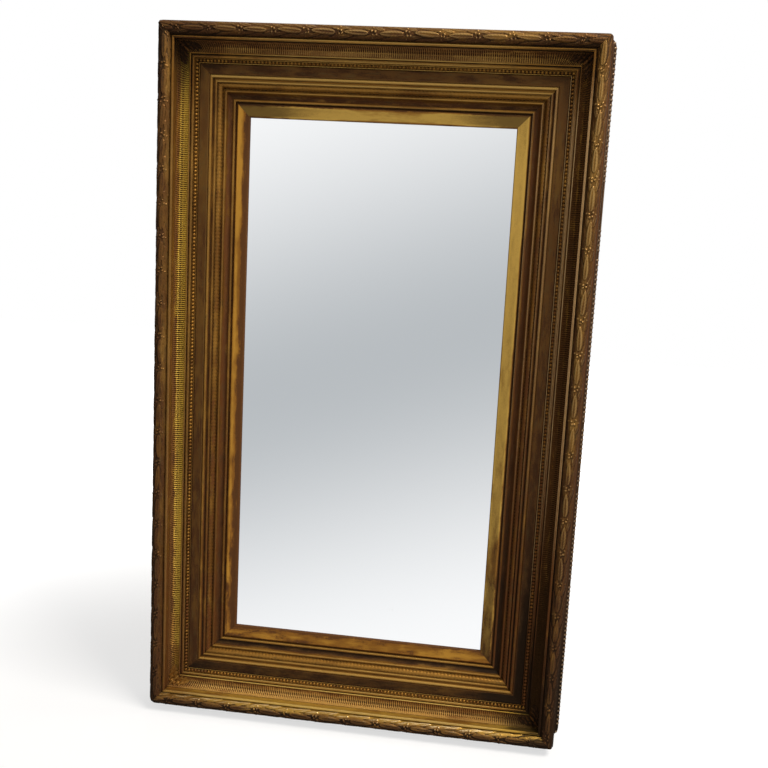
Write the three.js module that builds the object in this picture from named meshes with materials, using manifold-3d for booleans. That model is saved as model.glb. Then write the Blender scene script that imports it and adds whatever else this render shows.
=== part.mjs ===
// A tall pier mirror: a silvered plate in a deep, compound gilt frame.
//
// Axes: +X to the viewer's right, +Z up, and the mirror faces -Y. All sizes are in millimetres.
// The origin is under the middle of the frame, at the level of its lowest edge.
//
// Every moulding is described by its cross-section. In a section, "out" is the distance outwards
// from the sight edge, which is the visible edge of the plate, and "front" is the height towards
// the viewer above the plane of that edge. The same section serves all four sides, and its length
// is cut at 45 degrees at both ends.
import * as THREE from 'three';
import * as BufferGeometryUtils from 'three/addons/utils/BufferGeometryUtils.js';
import Module from 'manifold-3d';

const wasm = await Module();
wasm.setup();

// ---- Driving dimensions ----

// The silvered plate and the rebate that holds it.
const plateWidth = 610;
const plateHeight = 1214;
const plateThickness = 5;
const rebateOverlap = 6;

// Clearance between pieces that are glued, seated or nailed face to face.
const seat = 0.3;

// The gilt slip round the glass. Its tongue runs under the lip of the inner moulding.
const slipWidth = 28.6;
const slipLip = 4;
const slipArris = 3.5;
const slipCrown = 5;
const slipShoulder = 5;
const slipTongue = 11.5;

// Softened edge of each gilded fillet.
const ease = 1;

// The inner moulding, from the sight outwards: fillet, hollow, astragal, ovolo with its small
// ornament, step fillet and bead. A leg behind it stands beside the pine back frame.
const quirkWidth = 3.2;
const sightFilletWidth = 4.8;
const sightFilletHeight = 7.2;
const lipThickness = 6.7;
const hollowWidth = 12.8;
const hollowFloor = 5;
const astragalWidth = 5.2;
const astragalHeight = 15;
const ovoloQuirk = 2;
const ovoloFoot = 12.5;
const ovoloWidth = 9.5;
const ovoloHeight = 22;
const stepQuirk = 2.4;
const stepQuirkFloor = 20.5;
const stepFilletWidth = 4.6;
const stepFilletHeight = 26;
const beadQuirk = 3.2;
const beadQuirkFloor = 24;
const innerBeadWidth = 7.1;
const innerBeadHeight = 32.4;
const legWidth = 19;
const legDepth = 16;

// The frieze moulding: flat frieze, pearl course in its bed, and gilt fillet.
const friezeWidth = 22;
const friezeHeight = 31;
const pearlBedWidth = 10.8;
const pearlBedFloor = 33;
const pearlDiameter = 7;
const pearlCrest = 37.5;
const giltFilletWidth = 5;
const giltFilletHeight = 38;

// The outer moulding: groove, edge of the flutes, fluted floor, upright wall, fillet and torus.
const grooveWidth = 2.8;
const grooveFloor = 33.5;
const fluteEdgeWidth = 2.4;
const fluteEdgeHeight = 38;
const fluteFloorWidth = 13;
const fluteFloorHeight = 37.5;
const coveWidth = 8.3;
const coveHeight = 22;
const wallHeight = 73;
const wallFilletWidth = 4;
const wallFilletHeight = 76.5;
const wallFilletOverhang = 1;
const torusRadius = 17;
const torusCentreHeight = 71;
const torusQuirkDepth = 2;
const flankWaist = 5;
const flankFoot = 5.5;

// The back: pine boards, and the edge strip with its course of large beads.
const carcassStart = 60;
const carcassWidth = 115.7;
const carcassThickness = 23.7;
const edgeStripWidth = 17.2;
const edgeBeadDiameter = 9.6;
const edgeBeadProud = 6.9;
const edgeBeadDepth = 11;
const backDepth = 34;
const backboardThickness = 7;
const backboardCount = 3;

// Small blocks that press the plate forward.
const blockLength = 60;
const blockOverPlate = 9;
const blockThickness = 6.3;
const blockSpread = 0.55;

// Screws.
const boardScrew = { headRadius: 4, headHeight: 2.4, shankRadius: 1.9, length: 18 };
const lapScrew = { headRadius: 5, headHeight: 3, shankRadius: 2.4, length: 20 };
const hangerScrew = { headRadius: 3.2, headHeight: 1.5, shankRadius: 1.6, length: 14 };
const screwRim = 0.2;
const screwSides = 12;

// Strap hangers with their D rings.
const hangerOut = 118;
const hangerRise = 420;
const strapWidth = 16;
const strapThickness = 1.5;
const strapLength = 46;
const strapScrewDrops = [14, 34];
const ringWire = 2;
const ringHalfWidth = 13;
const ringDrop = 9;
const eyeClearance = 0.3;
const eyeWall = 1.5;
const eyeStandoff = 5;
const eyeSides = 20;
const ringSides = 12;
const ringBendSteps = 20;
const ringTubeSteps = 26;

// Corner leaves on the fluted floor: how far each lobe runs along its side, how wide it is, how
// high it stands above the floor, and how far it stays from the flutes' edge and from the wall.
const leafReach = 46;
const leafWidth = 15;
const leafRise = 12;
const leafBevel = 2.5;
const leafEdgeMargin = 0.5;
const leafWallMargin = 3.5;
const leafNotch = 6;

// Faces on each curve of a section, and how far a cutting tool runs past what it cuts.
const arcSteps = 6;
const overcut = 2;

// ---- Sizes that follow ----

const sightHalfWidth = plateWidth / 2 - rebateOverlap;
const sightHalfHeight = plateHeight / 2 - rebateOverlap;

const plateFront = -slipLip - seat;
const plateBack = plateFront - plateThickness;

const innerStart = slipWidth + quirkWidth;
const hollowStart = innerStart + sightFilletWidth;
const astragalStart = hollowStart + hollowWidth;
const ovoloStart = astragalStart + astragalWidth + ovoloQuirk;
const ovoloEnd = ovoloStart + ovoloWidth;
const stepFilletStart = ovoloEnd + stepQuirk;
const stepFilletEnd = stepFilletStart + stepFilletWidth;
const innerBeadStart = stepFilletEnd + beadQuirk;
const innerEnd = innerBeadStart + innerBeadWidth;
const lipBack = sightFilletHeight - lipThickness;
const legEnd = carcassStart - seat;
const legStart = legEnd - legWidth;
const legMiddle = (legStart + legEnd) / 2;

const friezeStart = innerEnd + seat;
const pearlBedStart = friezeStart + friezeWidth;
const pearlCentre = pearlBedStart + pearlBedWidth / 2;
const giltFilletStart = pearlBedStart + pearlBedWidth;
const friezeEnd = giltFilletStart + giltFilletWidth;

const outerStart = friezeEnd + seat;
const fluteEdgeStart = outerStart + grooveWidth;
const fluteStart = fluteEdgeStart + fluteEdgeWidth;
const coveStart = fluteStart + fluteFloorWidth;
const wallOut = coveStart + coveWidth;
const wallFilletStart = wallOut - wallFilletOverhang;
const torusStart = wallFilletStart + wallFilletWidth;
const torusCentre = torusStart + torusRadius;
const torusEnd = torusCentre + torusRadius;
const outerEnd = torusEnd + flankFoot;
const crestHeight = torusCentreHeight + torusRadius;

const carcassEnd = carcassStart + carcassWidth;
const edgeStripStart = carcassEnd + seat;
const edgeStripEnd = edgeStripStart + edgeStripWidth;
const edgeBeadRadius = edgeBeadDiameter / 2;
const frameReach = edgeStripEnd + edgeBeadProud;

// The plane of the sight edge stands so that the whole depth is centred on the origin.
const sightY = (crestHeight - backDepth) / 2;
const centreZ = sightHalfHeight + frameReach;

// ---- Materials ----

function material(color, roughness, metalness) {
  return new THREE.MeshStandardMaterial({ color, roughness, metalness });
}

const agedGilt = material('#7a5426', 0.5, 0.6);
const darkGilt = material('#4a3520', 0.6, 0.4);
const brightGilt = material('#a9822f', 0.38, 0.75);
const silvered = material('#e4e8ea', 0.03, 1);
const pine = material('#a07a4c', 0.8, 0);
const oldPine = material('#86643d', 0.85, 0);
const brass = material('#9a7a3c', 0.4, 0.85);
const iron = material('#5b544c', 0.55, 0.8);

const mirror = new THREE.Group();

function addPiece(name, geometry, surface) {
  const piece = new THREE.Mesh(geometry, surface);
  piece.name = name;
  mirror.add(piece);
}

// ---- Solid joins and cuts ----

function toSolid(geometry) {
  const bare = geometry.clone();
  bare.deleteAttribute('normal');
  bare.deleteAttribute('uv');
  const merged = BufferGeometryUtils.mergeVertices(bare, 1e-4);
  return new wasm.Manifold(new wasm.Mesh({
    numProp: 3,
    vertProperties: new Float32Array(merged.attributes.position.array),
    triVerts: new Uint32Array(merged.index.array),
  }));
}

function toGeometry(solid) {
  const mesh = solid.getMesh();
  const geometry = new THREE.BufferGeometry();
  geometry.setAttribute('position', new THREE.BufferAttribute(mesh.vertProperties, 3));
  geometry.setIndex(new THREE.BufferAttribute(mesh.triVerts, 1));
  geometry.computeVertexNormals();
  return geometry;
}

function cutAway(geometry, tools) {
  let solid = toSolid(geometry);
  for (const tool of tools) {
    solid = solid.subtract(toSolid(tool));
  }
  return toGeometry(solid);
}

function join(geometries) {
  let solid = toSolid(geometries[0]);
  for (const geometry of geometries.slice(1)) {
    solid = solid.add(toSolid(geometry));
  }
  return toGeometry(solid);
}

// ---- The four sides ----

// Each side is drawn as the bottom one and turned about the middle of the plate.
const sides = [
  { name: 'bottom', turn: 0, halfLength: sightHalfWidth, reach: sightHalfHeight },
  { name: 'left', turn: Math.PI / 2, halfLength: sightHalfHeight, reach: sightHalfWidth },
  { name: 'top', turn: Math.PI, halfLength: sightHalfWidth, reach: sightHalfHeight },
  { name: 'right', turn: -Math.PI / 2, halfLength: sightHalfHeight, reach: sightHalfWidth },
];

// A length of moulding, mitred at both ends: each point of the section runs along the side for
// as far as the mitre lets it. The section's "out" points down and its "front" towards -Y.
function mitredLength(section, halfLength) {
  const geometry = new THREE.ExtrudeGeometry(section, {
    depth: 1,
    bevelEnabled: false,
    curveSegments: arcSteps,
  });
  const mitreTrim = (seat / 2) * Math.SQRT2;
  const position = geometry.attributes.position;
  for (let i = 0; i < position.count; i++) {
    const out = position.getX(i);
    const front = position.getY(i);
    const end = position.getZ(i) < 0.5 ? 1 : -1;
    position.setXYZ(i, end * (halfLength + out - mitreTrim), -front, -out);
  }
  geometry.computeVertexNormals();
  return geometry;
}

function placedLength(section, side) {
  const geometry = mitredLength(section, side.halfLength);
  geometry.translate(0, 0, -side.reach);
  geometry.rotateY(side.turn);
  geometry.translate(0, sightY, centreZ);
  return geometry;
}

function addFourLengths(name, section, surface) {
  for (const side of sides) {
    addPiece(`${name}_${side.name}`, placedLength(section, side), surface);
  }
}

// ---- Parts of a section ----

// A flat fillet with softened edges, drawn outwards from where it starts.
function drawFillet(section, start, width, height) {
  section.lineTo(start, height - ease);
  section.lineTo(start + ease, height);
  section.lineTo(start + width - ease, height);
  section.lineTo(start + width, height - ease);
}

// A half-round bead, drawn outwards from where it starts.
function drawBead(section, start, width, crest) {
  const radius = width / 2;
  section.lineTo(start, crest - radius);
  section.absarc(start + radius, crest - radius, radius, Math.PI, 0, true);
}

// ---- Gilt slip ----

function slipSection() {
  const section = new THREE.Shape();
  section.moveTo(0, -slipLip);
  section.lineTo(0, -slipArris / 2);
  section.quadraticCurveTo(0, 0, slipArris, slipArris / 4);
  section.lineTo(slipWidth - slipShoulder, slipCrown);
  section.quadraticCurveTo(slipWidth - ease, slipCrown, slipWidth, slipCrown / 2);
  section.lineTo(slipWidth, lipBack - seat);
  section.lineTo(slipWidth + slipTongue, lipBack - seat);
  section.lineTo(slipWidth + slipTongue, plateBack);
  section.lineTo(rebateOverlap + seat, plateBack);
  section.lineTo(rebateOverlap + seat, -slipLip);
  return section;
}

// ---- Inner moulding ----

function innerSection() {
  const section = new THREE.Shape();
  section.moveTo(innerStart, lipBack);
  drawFillet(section, innerStart, sightFilletWidth, sightFilletHeight);
  // The hollow dips under the fillet and rises steeply to the astragal.
  section.bezierCurveTo(
    hollowStart + hollowWidth / 4, hollowFloor - ease,
    astragalStart - hollowWidth / 4, hollowFloor - ease,
    astragalStart, ovoloFoot,
  );
  drawBead(section, astragalStart, astragalWidth, astragalHeight);
  section.lineTo(ovoloStart, ovoloFoot);
  section.quadraticCurveTo(ovoloStart + ease, ovoloHeight, ovoloEnd, ovoloHeight);
  section.lineTo(ovoloEnd, stepQuirkFloor);
  section.lineTo(stepFilletStart, stepQuirkFloor);
  drawFillet(section, stepFilletStart, stepFilletWidth, stepFilletHeight);
  section.lineTo(stepFilletEnd, beadQuirkFloor);
  section.lineTo(innerBeadStart, beadQuirkFloor);
  drawBead(section, innerBeadStart, innerBeadWidth, innerBeadHeight);
  section.lineTo(innerEnd, 0);
  section.lineTo(legEnd, 0);
  section.lineTo(legEnd, -legDepth);
  section.lineTo(legStart, -legDepth);
  section.lineTo(legStart, lipBack);
  return section;
}

// ---- Frieze moulding ----

function friezeSection() {
  const section = new THREE.Shape();
  section.moveTo(friezeStart, 0);
  drawFillet(section, friezeStart, friezeWidth, friezeHeight);
  section.lineTo(pearlBedStart, pearlBedFloor);
  section.lineTo(pearlCentre - pearlDiameter / 2, pearlBedFloor);
  drawBead(section, pearlCentre - pearlDiameter / 2, pearlDiameter, pearlCrest);
  section.lineTo(pearlCentre + pearlDiameter / 2, pearlBedFloor);
  section.lineTo(giltFilletStart, pearlBedFloor);
  drawFillet(section, giltFilletStart, giltFilletWidth, giltFilletHeight);
  section.lineTo(friezeEnd, 0);
  return section;
}

// ---- Outer moulding ----

function outerSection() {
  const section = new THREE.Shape();
  section.moveTo(outerStart, 0);
  section.lineTo(outerStart, grooveFloor);
  section.lineTo(fluteEdgeStart, grooveFloor);
  section.lineTo(fluteEdgeStart, fluteEdgeHeight);
  section.lineTo(fluteStart, fluteEdgeHeight);
  section.lineTo(fluteStart, fluteFloorHeight);
  // The fluted floor sweeps up into the plain upright wall.
  section.lineTo(coveStart - coveWidth / 2, fluteFloorHeight);
  section.bezierCurveTo(
    coveStart + coveWidth / 2, fluteFloorHeight,
    wallOut, fluteFloorHeight + coveHeight / 3,
    wallOut, fluteFloorHeight + coveHeight,
  );
  section.lineTo(wallOut, wallHeight);
  section.lineTo(wallFilletStart, wallHeight);
  drawFillet(section, wallFilletStart, wallFilletWidth, wallFilletHeight);
  const quirkFloor = wallFilletHeight - torusQuirkDepth;
  const quirkAngle = Math.asin((quirkFloor - torusCentreHeight) / torusRadius);
  section.absarc(torusCentre, torusCentreHeight, torusRadius, Math.PI - quirkAngle, 0, true);
  // Below the torus the side draws in, and it sweeps out again to the edge strip.
  section.bezierCurveTo(
    torusEnd - flankWaist, torusCentreHeight * 2 / 3,
    torusEnd - flankWaist, torusCentreHeight / 3,
    outerEnd, 0,
  );
  return section;
}

// ---- Edge strip ----

function edgeSection() {
  const section = new THREE.Shape();
  const beadCentre = frameReach - edgeBeadRadius;
  const beadReach = beadCentre - edgeStripEnd;
  const swing = Math.acos(-beadReach / edgeBeadRadius);
  const half = edgeBeadRadius * Math.sin(swing);
  section.moveTo(edgeStripStart, -seat);
  section.lineTo(edgeStripEnd - ease, -seat);
  section.lineTo(edgeStripEnd, -ease - seat);
  section.lineTo(edgeStripEnd, -edgeBeadDepth + half);
  section.absarc(beadCentre, -edgeBeadDepth, edgeBeadRadius, swing, -swing, true);
  section.lineTo(edgeStripEnd, -edgeBeadDepth - half);
  section.lineTo(edgeStripEnd, -backDepth);
  section.lineTo(edgeStripStart, -backDepth);
  return section;
}

addFourLengths('gilt_slip', slipSection(), brightGilt);
addFourLengths('inner_moulding', innerSection(), agedGilt);
addFourLengths('frieze_moulding', friezeSection(), darkGilt);
addFourLengths('outer_moulding', outerSection(), agedGilt);
addFourLengths('edge_strip', edgeSection(), darkGilt);

// ---- Silvered plate ----

function plate() {
  const geometry = new THREE.BoxGeometry(plateWidth, plateThickness, plateHeight);
  geometry.translate(0, sightY - (plateFront + plateBack) / 2, centreZ);
  return geometry;
}

addPiece('silvered_plate', plate(), silvered);

// ---- Screws ----

// A countersunk screw with its head's face at the origin, driven along -Y (towards the front).
function screwGeometry(screw, clearance = 0) {
  const head = screw.headRadius + clearance;
  const shank = screw.shankRadius + clearance;
  const tip = screw.length + clearance;
  const profile = [
    new THREE.Vector2(0, -clearance),
    new THREE.Vector2(head, -clearance),
    new THREE.Vector2(head, clearance / 2 + screwRim),
    new THREE.Vector2(shank, screw.headHeight + clearance / 2),
    new THREE.Vector2(shank, tip - 2 * screw.shankRadius),
    new THREE.Vector2(0, tip),
  ];
  const geometry = new THREE.LatheGeometry(profile, screwSides);
  geometry.rotateX(Math.PI);
  return geometry;
}

function screwAt(screw, x, y, z, clearance = 0) {
  return screwGeometry(screw, clearance).translate(x, y, z);
}

// ---- Pine back frame ----

// The four boards are half lapped at the corners: the uprights hold the back half of each lap,
// and the cross boards the front half. One screw goes through each lap from the back.
const carcassFront = -seat;
const carcassBack = -seat - carcassThickness;
const lapPlane = (carcassFront + carcassBack) / 2;

// A board with a tongue at both ends, drawn along X with its faces square to Y.
function lappedBoard(halfLength, halfShoulder, tongueFront, tongueBack) {
  const outline = new THREE.Shape();
  outline.moveTo(-halfLength, -tongueFront);
  outline.lineTo(-halfShoulder, -tongueFront);
  outline.lineTo(-halfShoulder, -carcassFront);
  outline.lineTo(halfShoulder, -carcassFront);
  outline.lineTo(halfShoulder, -tongueFront);
  outline.lineTo(halfLength, -tongueFront);
  outline.lineTo(halfLength, -tongueBack);
  outline.lineTo(halfShoulder, -tongueBack);
  outline.lineTo(halfShoulder, -carcassBack);
  outline.lineTo(-halfShoulder, -carcassBack);
  outline.lineTo(-halfShoulder, -tongueBack);
  outline.lineTo(-halfLength, -tongueBack);
  const geometry = new THREE.ExtrudeGeometry(outline, {
    depth: carcassWidth,
    bevelEnabled: false,
  });
  return geometry.translate(0, sightY, 0);
}

function lapCentre(signX, signZ) {
  const across = carcassStart + carcassWidth / 2;
  return {
    x: signX * (sightHalfWidth + across),
    z: centreZ + signZ * (sightHalfHeight + across),
  };
}

const lapCorners = [
  { name: 'lower_left', signX: -1, signZ: -1 },
  { name: 'lower_right', signX: 1, signZ: -1 },
  { name: 'upper_left', signX: -1, signZ: 1 },
  { name: 'upper_right', signX: 1, signZ: 1 },
];

const lapHoles = lapCorners.map((corner) => {
  const centre = lapCentre(corner.signX, corner.signZ);
  return screwAt(lapScrew, centre.x, sightY - carcassBack, centre.z, seat);
});

function uprightBoard(signX) {
  const board = lappedBoard(
    sightHalfHeight + carcassEnd,
    sightHalfHeight + carcassStart - seat,
    lapPlane - seat / 2,
    carcassBack,
  );
  board.rotateY(Math.PI / 2);
  const inner = sightHalfWidth + carcassStart;
  board.translate(signX > 0 ? inner : -inner - carcassWidth, 0, centreZ);
  return board;
}

function crossBoard(signZ) {
  const board = lappedBoard(
    sightHalfWidth + carcassEnd,
    sightHalfWidth + carcassStart - seat,
    carcassFront,
    lapPlane + seat / 2,
  );
  const inner = sightHalfHeight + carcassStart;
  board.translate(0, 0, centreZ + (signZ > 0 ? inner : -inner - carcassWidth));
  return board;
}

// ---- Strap hangers ----

const hangerZ = centreZ + hangerRise;
const hangerSeatY = sightY - carcassBack;
const eyeY = hangerSeatY + eyeStandoff + seat;
const eyeHole = ringWire + eyeClearance;

function hangerX(signX) {
  return signX * (sightHalfWidth + hangerOut);
}

function hangerScrews(signX, clearance) {
  const headY = hangerSeatY + seat + strapThickness;
  return strapScrewDrops.map((drop) => (
    screwAt(hangerScrew, hangerX(signX), headY, hangerZ - drop, clearance)
  ));
}

// A flat strap whose upper end is rolled into an eye that stands off the board.
function strapGeometry(signX) {
  const eyeRadius = eyeHole + eyeWall;
  const leaf = new THREE.BoxGeometry(strapWidth, strapThickness, strapLength + eyeRadius);
  leaf.translate(0, seat + strapThickness / 2, (eyeRadius - strapLength) / 2);
  const eye = new THREE.CylinderGeometry(eyeRadius, eyeRadius, strapWidth, eyeSides);
  eye.rotateZ(Math.PI / 2).translate(0, eyeStandoff + seat, 0);
  const hole = new THREE.CylinderGeometry(eyeHole, eyeHole, strapWidth + overcut, eyeSides);
  hole.rotateZ(Math.PI / 2).translate(0, eyeStandoff + seat, 0);
  const strap = cutAway(join([leaf, eye]), [hole]);
  strap.translate(hangerX(signX), hangerSeatY, hangerZ);
  return cutAway(strap, hangerScrews(signX, seat / 2));
}

// The ring is a bow bent in a half circle, with a straight bar that turns in the strap's eye.
function ringGeometry(signX) {
  const corners = [new THREE.Vector3(-ringHalfWidth, 0, 0)];
  for (let i = 0; i <= ringBendSteps; i++) {
    const angle = Math.PI + (Math.PI * i) / ringBendSteps;
    const x = ringHalfWidth * Math.cos(angle);
    const z = ringHalfWidth * Math.sin(angle) - ringDrop;
    corners.push(new THREE.Vector3(x, 0, z));
  }
  corners.push(new THREE.Vector3(ringHalfWidth, 0, 0));
  const bow = new THREE.CurvePath();
  for (let i = 1; i < corners.length; i++) {
    bow.add(new THREE.LineCurve3(corners[i - 1], corners[i]));
  }
  const wire = new THREE.Shape();
  wire.absarc(0, 0, ringWire, 0, 2 * Math.PI, false);
  const bowTube = new THREE.ExtrudeGeometry(wire, {
    steps: ringTubeSteps,
    extrudePath: bow,
    curveSegments: ringSides,
  });
  const barLength = 2 * (ringHalfWidth + ringWire);
  const bar = new THREE.CylinderGeometry(ringWire, ringWire, barLength, ringSides);
  bar.rotateZ(Math.PI / 2);
  return join([bowTube, bar]).translate(hangerX(signX), eyeY, hangerZ);
}

// ---- Backboards ----

// Thin boards laid across the opening, in the well between the pine uprights, and screwed into
// the leg of the inner moulding.
const boardFront = -legDepth - seat;
const boardBack = boardFront - backboardThickness;
const boardHalfWidth = sightHalfWidth + carcassStart - seat;
const boardWellHeight = 2 * (sightHalfHeight + carcassStart - seat);
const boardHeight = (boardWellHeight - (backboardCount - 1) * seat) / backboardCount;

function boardCentreZ(index) {
  return centreZ + (index - (backboardCount - 1) / 2) * (boardHeight + seat);
}

function boardScrews(index, clearance) {
  const x = sightHalfWidth + legMiddle;
  const y = sightY - boardBack;
  const z = boardCentreZ(index);
  return [-1, 1].map((signX) => screwAt(boardScrew, signX * x, y, z, clearance));
}

function backboard(index) {
  const board = new THREE.BoxGeometry(2 * boardHalfWidth, backboardThickness, boardHeight);
  board.translate(0, sightY - (boardFront + boardBack) / 2, boardCentreZ(index));
  return cutAway(board, boardScrews(index, seat));
}

const boardIndexes = [...Array(backboardCount).keys()];
const boardHoles = boardIndexes.flatMap((index) => boardScrews(index, seat));

// The uprights of the inner moulding take the backboard screws.
for (const name of ['inner_moulding_left', 'inner_moulding_right']) {
  const moulding = mirror.getObjectByName(name);
  moulding.geometry = cutAway(moulding.geometry, boardHoles);
}

for (const index of boardIndexes) {
  addPiece(`backboard_${index + 1}`, backboard(index), oldPine);
  const [left, right] = boardScrews(index, 0);
  addPiece(`backboard_screw_${index + 1}_left`, left, iron);
  addPiece(`backboard_screw_${index + 1}_right`, right, iron);
}

for (const [name, signX] of [['left', -1], ['right', 1]]) {
  const holes = [...lapHoles, ...hangerScrews(signX, seat)];
  addPiece(`back_frame_${name}`, cutAway(uprightBoard(signX), holes), pine);
  addPiece(`strap_hanger_${name}`, strapGeometry(signX), brass);
  addPiece(`hanger_ring_${name}`, ringGeometry(signX), brass);
  hangerScrews(signX, 0).forEach((screw, i) => {
    addPiece(`hanger_screw_${name}_${i + 1}`, screw, brass);
  });
}

for (const [name, signZ] of [['bottom', -1], ['top', 1]]) {
  addPiece(`back_frame_${name}`, cutAway(crossBoard(signZ), lapHoles), pine);
}

for (const corner of lapCorners) {
  const centre = lapCentre(corner.signX, corner.signZ);
  const screw = screwAt(lapScrew, centre.x, sightY - carcassBack, centre.z);
  addPiece(`lap_screw_${corner.name}`, screw, iron);
}

// ---- Glazing blocks ----

// Softwood blocks behind the plate's edge, seated on the slip and against the moulding's leg.
const blockFront = plateBack - seat;
const blockBack = blockFront - blockThickness;
const blockReach = legStart - seat;
const blockStart = rebateOverlap - blockOverPlate;

function glazingBlock(side, along) {
  const block = new THREE.BoxGeometry(blockLength, blockThickness, blockReach - blockStart);
  block.translate(along, -(blockFront + blockBack) / 2, -(blockReach + blockStart) / 2 - side.reach);
  block.rotateY(side.turn);
  return block.translate(0, sightY, centreZ);
}

for (const side of sides) {
  const spread = blockSpread * side.halfLength;
  const places = side.halfLength > side.reach ? [-spread, spread] : [0];
  places.forEach((along, i) => {
    addPiece(`glazing_block_${side.name}_${i + 1}`, glazingBlock(side, along), pine);
  });
}

// ---- Corner leaves ----

// A moulded leaf covers each mitre of the fluted floor. It spreads a lobe along both sides and is
// hollowed underneath to the shape of the floor that it is glued to.
function leafOutline(signX, signZ) {
  const inner = fluteStart + leafEdgeMargin;
  const outer = wallOut - leafWallMargin;
  const tip = outer - leafReach;
  const waist = outer - leafWidth;
  const plan = [
    [inner, inner],
    [waist, waist - leafNotch],
    [waist, tip + leafNotch],
    [outer - leafNotch, tip],
    [outer, tip + leafNotch],
    [outer, outer],
    [tip + leafNotch, outer],
    [tip, outer - leafNotch],
    [tip + leafNotch, waist],
    [waist - leafNotch, waist],
  ];
  return new THREE.Shape(plan.map(([outX, outZ]) => new THREE.Vector2(
    signX * (sightHalfWidth + outX),
    centreZ + signZ * (sightHalfHeight + outZ),
  )));
}

function cornerLeaf(signX, signZ) {
  const body = new THREE.ExtrudeGeometry(leafOutline(signX, signZ), {
    depth: leafRise,
    bevelEnabled: true,
    bevelSize: leafBevel,
    bevelThickness: leafBevel,
    bevelOffset: -leafBevel,
    bevelSegments: 2,
  });
  body.rotateX(Math.PI / 2).translate(0, sightY - fluteFloorHeight + leafBevel, 0);
  const covered = [signZ > 0 ? 'top' : 'bottom', signX > 0 ? 'right' : 'left'];
  const floors = sides
    .filter((side) => covered.includes(side.name))
    .map((side) => placedLength(outerSection(), side).translate(0, -seat, 0));
  return cutAway(body, floors);
}

for (const corner of lapCorners) {
  addPiece(`corner_leaf_${corner.name}`, cornerLeaf(corner.signX, corner.signZ), agedGilt);
}

export default mirror;
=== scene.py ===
"""A pier mirror in a deep gilt frame: the ornament and finish of every moulding, the silvered plate,
and the pine back with its hangers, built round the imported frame. Lengths are in metres."""

import bpy
import numpy as np
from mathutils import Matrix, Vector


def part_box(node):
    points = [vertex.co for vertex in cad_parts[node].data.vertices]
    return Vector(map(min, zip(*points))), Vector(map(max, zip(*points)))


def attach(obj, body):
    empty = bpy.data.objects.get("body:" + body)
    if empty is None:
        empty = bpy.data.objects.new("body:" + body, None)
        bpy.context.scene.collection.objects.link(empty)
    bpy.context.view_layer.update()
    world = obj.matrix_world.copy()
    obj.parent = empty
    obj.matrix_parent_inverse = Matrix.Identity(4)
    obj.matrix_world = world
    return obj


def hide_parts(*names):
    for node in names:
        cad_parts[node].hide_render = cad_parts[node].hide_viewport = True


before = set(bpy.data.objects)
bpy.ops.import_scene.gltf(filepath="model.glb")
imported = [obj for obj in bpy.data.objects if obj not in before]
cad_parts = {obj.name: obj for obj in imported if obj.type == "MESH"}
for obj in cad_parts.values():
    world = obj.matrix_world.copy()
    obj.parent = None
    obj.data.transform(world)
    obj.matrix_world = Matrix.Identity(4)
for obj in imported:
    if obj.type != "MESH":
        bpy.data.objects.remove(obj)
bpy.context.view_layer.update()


# ---- The lie of the mouldings ----
# Four mitred lengths of each moulding are glued up round the plate. A section is drawn in millimetres
# as (out, front): out from the visible edge of the plate, and front above the plane of that edge.

MM = 0.001
SLIP_CROWN = 5 * MM
slip_low, slip_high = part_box("gilt_slip_left")
foot_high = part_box("gilt_slip_bottom")[1]
plate_low, plate_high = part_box("silvered_plate")
middle_height = (plate_low.z + plate_high.z) / 2
half_width = -slip_high.x
half_height = middle_height - foot_high.z
sight_y = slip_low.y + SLIP_CROWN

# For each side: half its length at the plate, how far it lies from the middle, and its quarter turns.
SIDES = {
    "bottom": (half_width, half_height, 0),
    "left": (half_height, half_width, 1),
    "top": (half_width, half_height, 2),
    "right": (half_height, half_width, 3),
}
MITRE_TRIM = 0.1 * MM
MITRE_REACH = 90 * MM
ROUNDED_FROM = 176 * MM
WORN_FROM = 167 * MM
# How far the old wood has sunk in slow waves, and the waves: radians to a metre, and from side to side.
WAVE = 0.12 * MM
WAVES = ((7.3, 2.1), (19.0, 4.3))


def lay_on_side(side, along, out, front):
    """Points of one side in the frame: x is along and z is minus (reach + out), turned about the
    plate's middle by the side's quarter turns, and y is the plane of the plate's edge less front."""
    _, reach, turns = SIDES[side]
    x, z = along, -(out + reach)
    for _ in range(turns):
        x, z = z, -x
    return np.stack(np.broadcast_arrays(x, sight_y - front, z + middle_height), axis=-1)


def rounding(side, along):
    """How far out the corner's rounding begins: further in at the lower left, which is worn round."""
    worn = (side == "bottom") & (along < 0) | (side == "left") & (along > 0)
    return np.where(worn, WORN_FROM, ROUNDED_FROM)


def to_mitre(side, run, out, middle):
    """Where a point of a moulding falls: run is its place along the line at middle. Towards each end
    it shifts by (out - middle), more and more, until it lies on the 45 degree mitre. The outermost
    part of the corner is turned on a circle instead of a square."""
    half = SIDES[side][0]
    near = np.clip((np.abs(run) - (half + middle - MITRE_REACH)) / MITRE_REACH, 0, 1)
    shift = near * near * (3 - 2 * near) * (out - middle)
    along = np.sign(run) * (np.abs(run) + shift - MITRE_TRIM * near)
    start = rounding(side, along)
    corner = half + start
    beyond = np.maximum(out - start, 1e-9)
    swing = np.clip((np.abs(along) - corner) / beyond, 0, 1) * np.pi / 4
    turned = (out > start) & (np.abs(along) > corner)
    round_along = np.sign(along) * (corner + beyond * np.sin(swing))
    round_out = start + beyond * np.cos(swing)
    return np.where(turned, round_along, along), np.where(turned, round_out, out)


# ---- Pine back frame ----
# Four planed pine boards, half lapped at the corners, carry every moulding. They are bare wood, brown
# with age, with the grain along each board and dust in broad patches.


def light_of(red, green, blue):
    """A colour as it is seen, 0 to 255 each, turned into the light values that shaders take."""
    seen = np.array([red, green, blue]) / 255
    light = np.where(seen < 0.04045, seen / 12.92, ((seen + 0.055) / 1.055) ** 2.4)
    return (*light.tolist(), 1.0)


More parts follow.
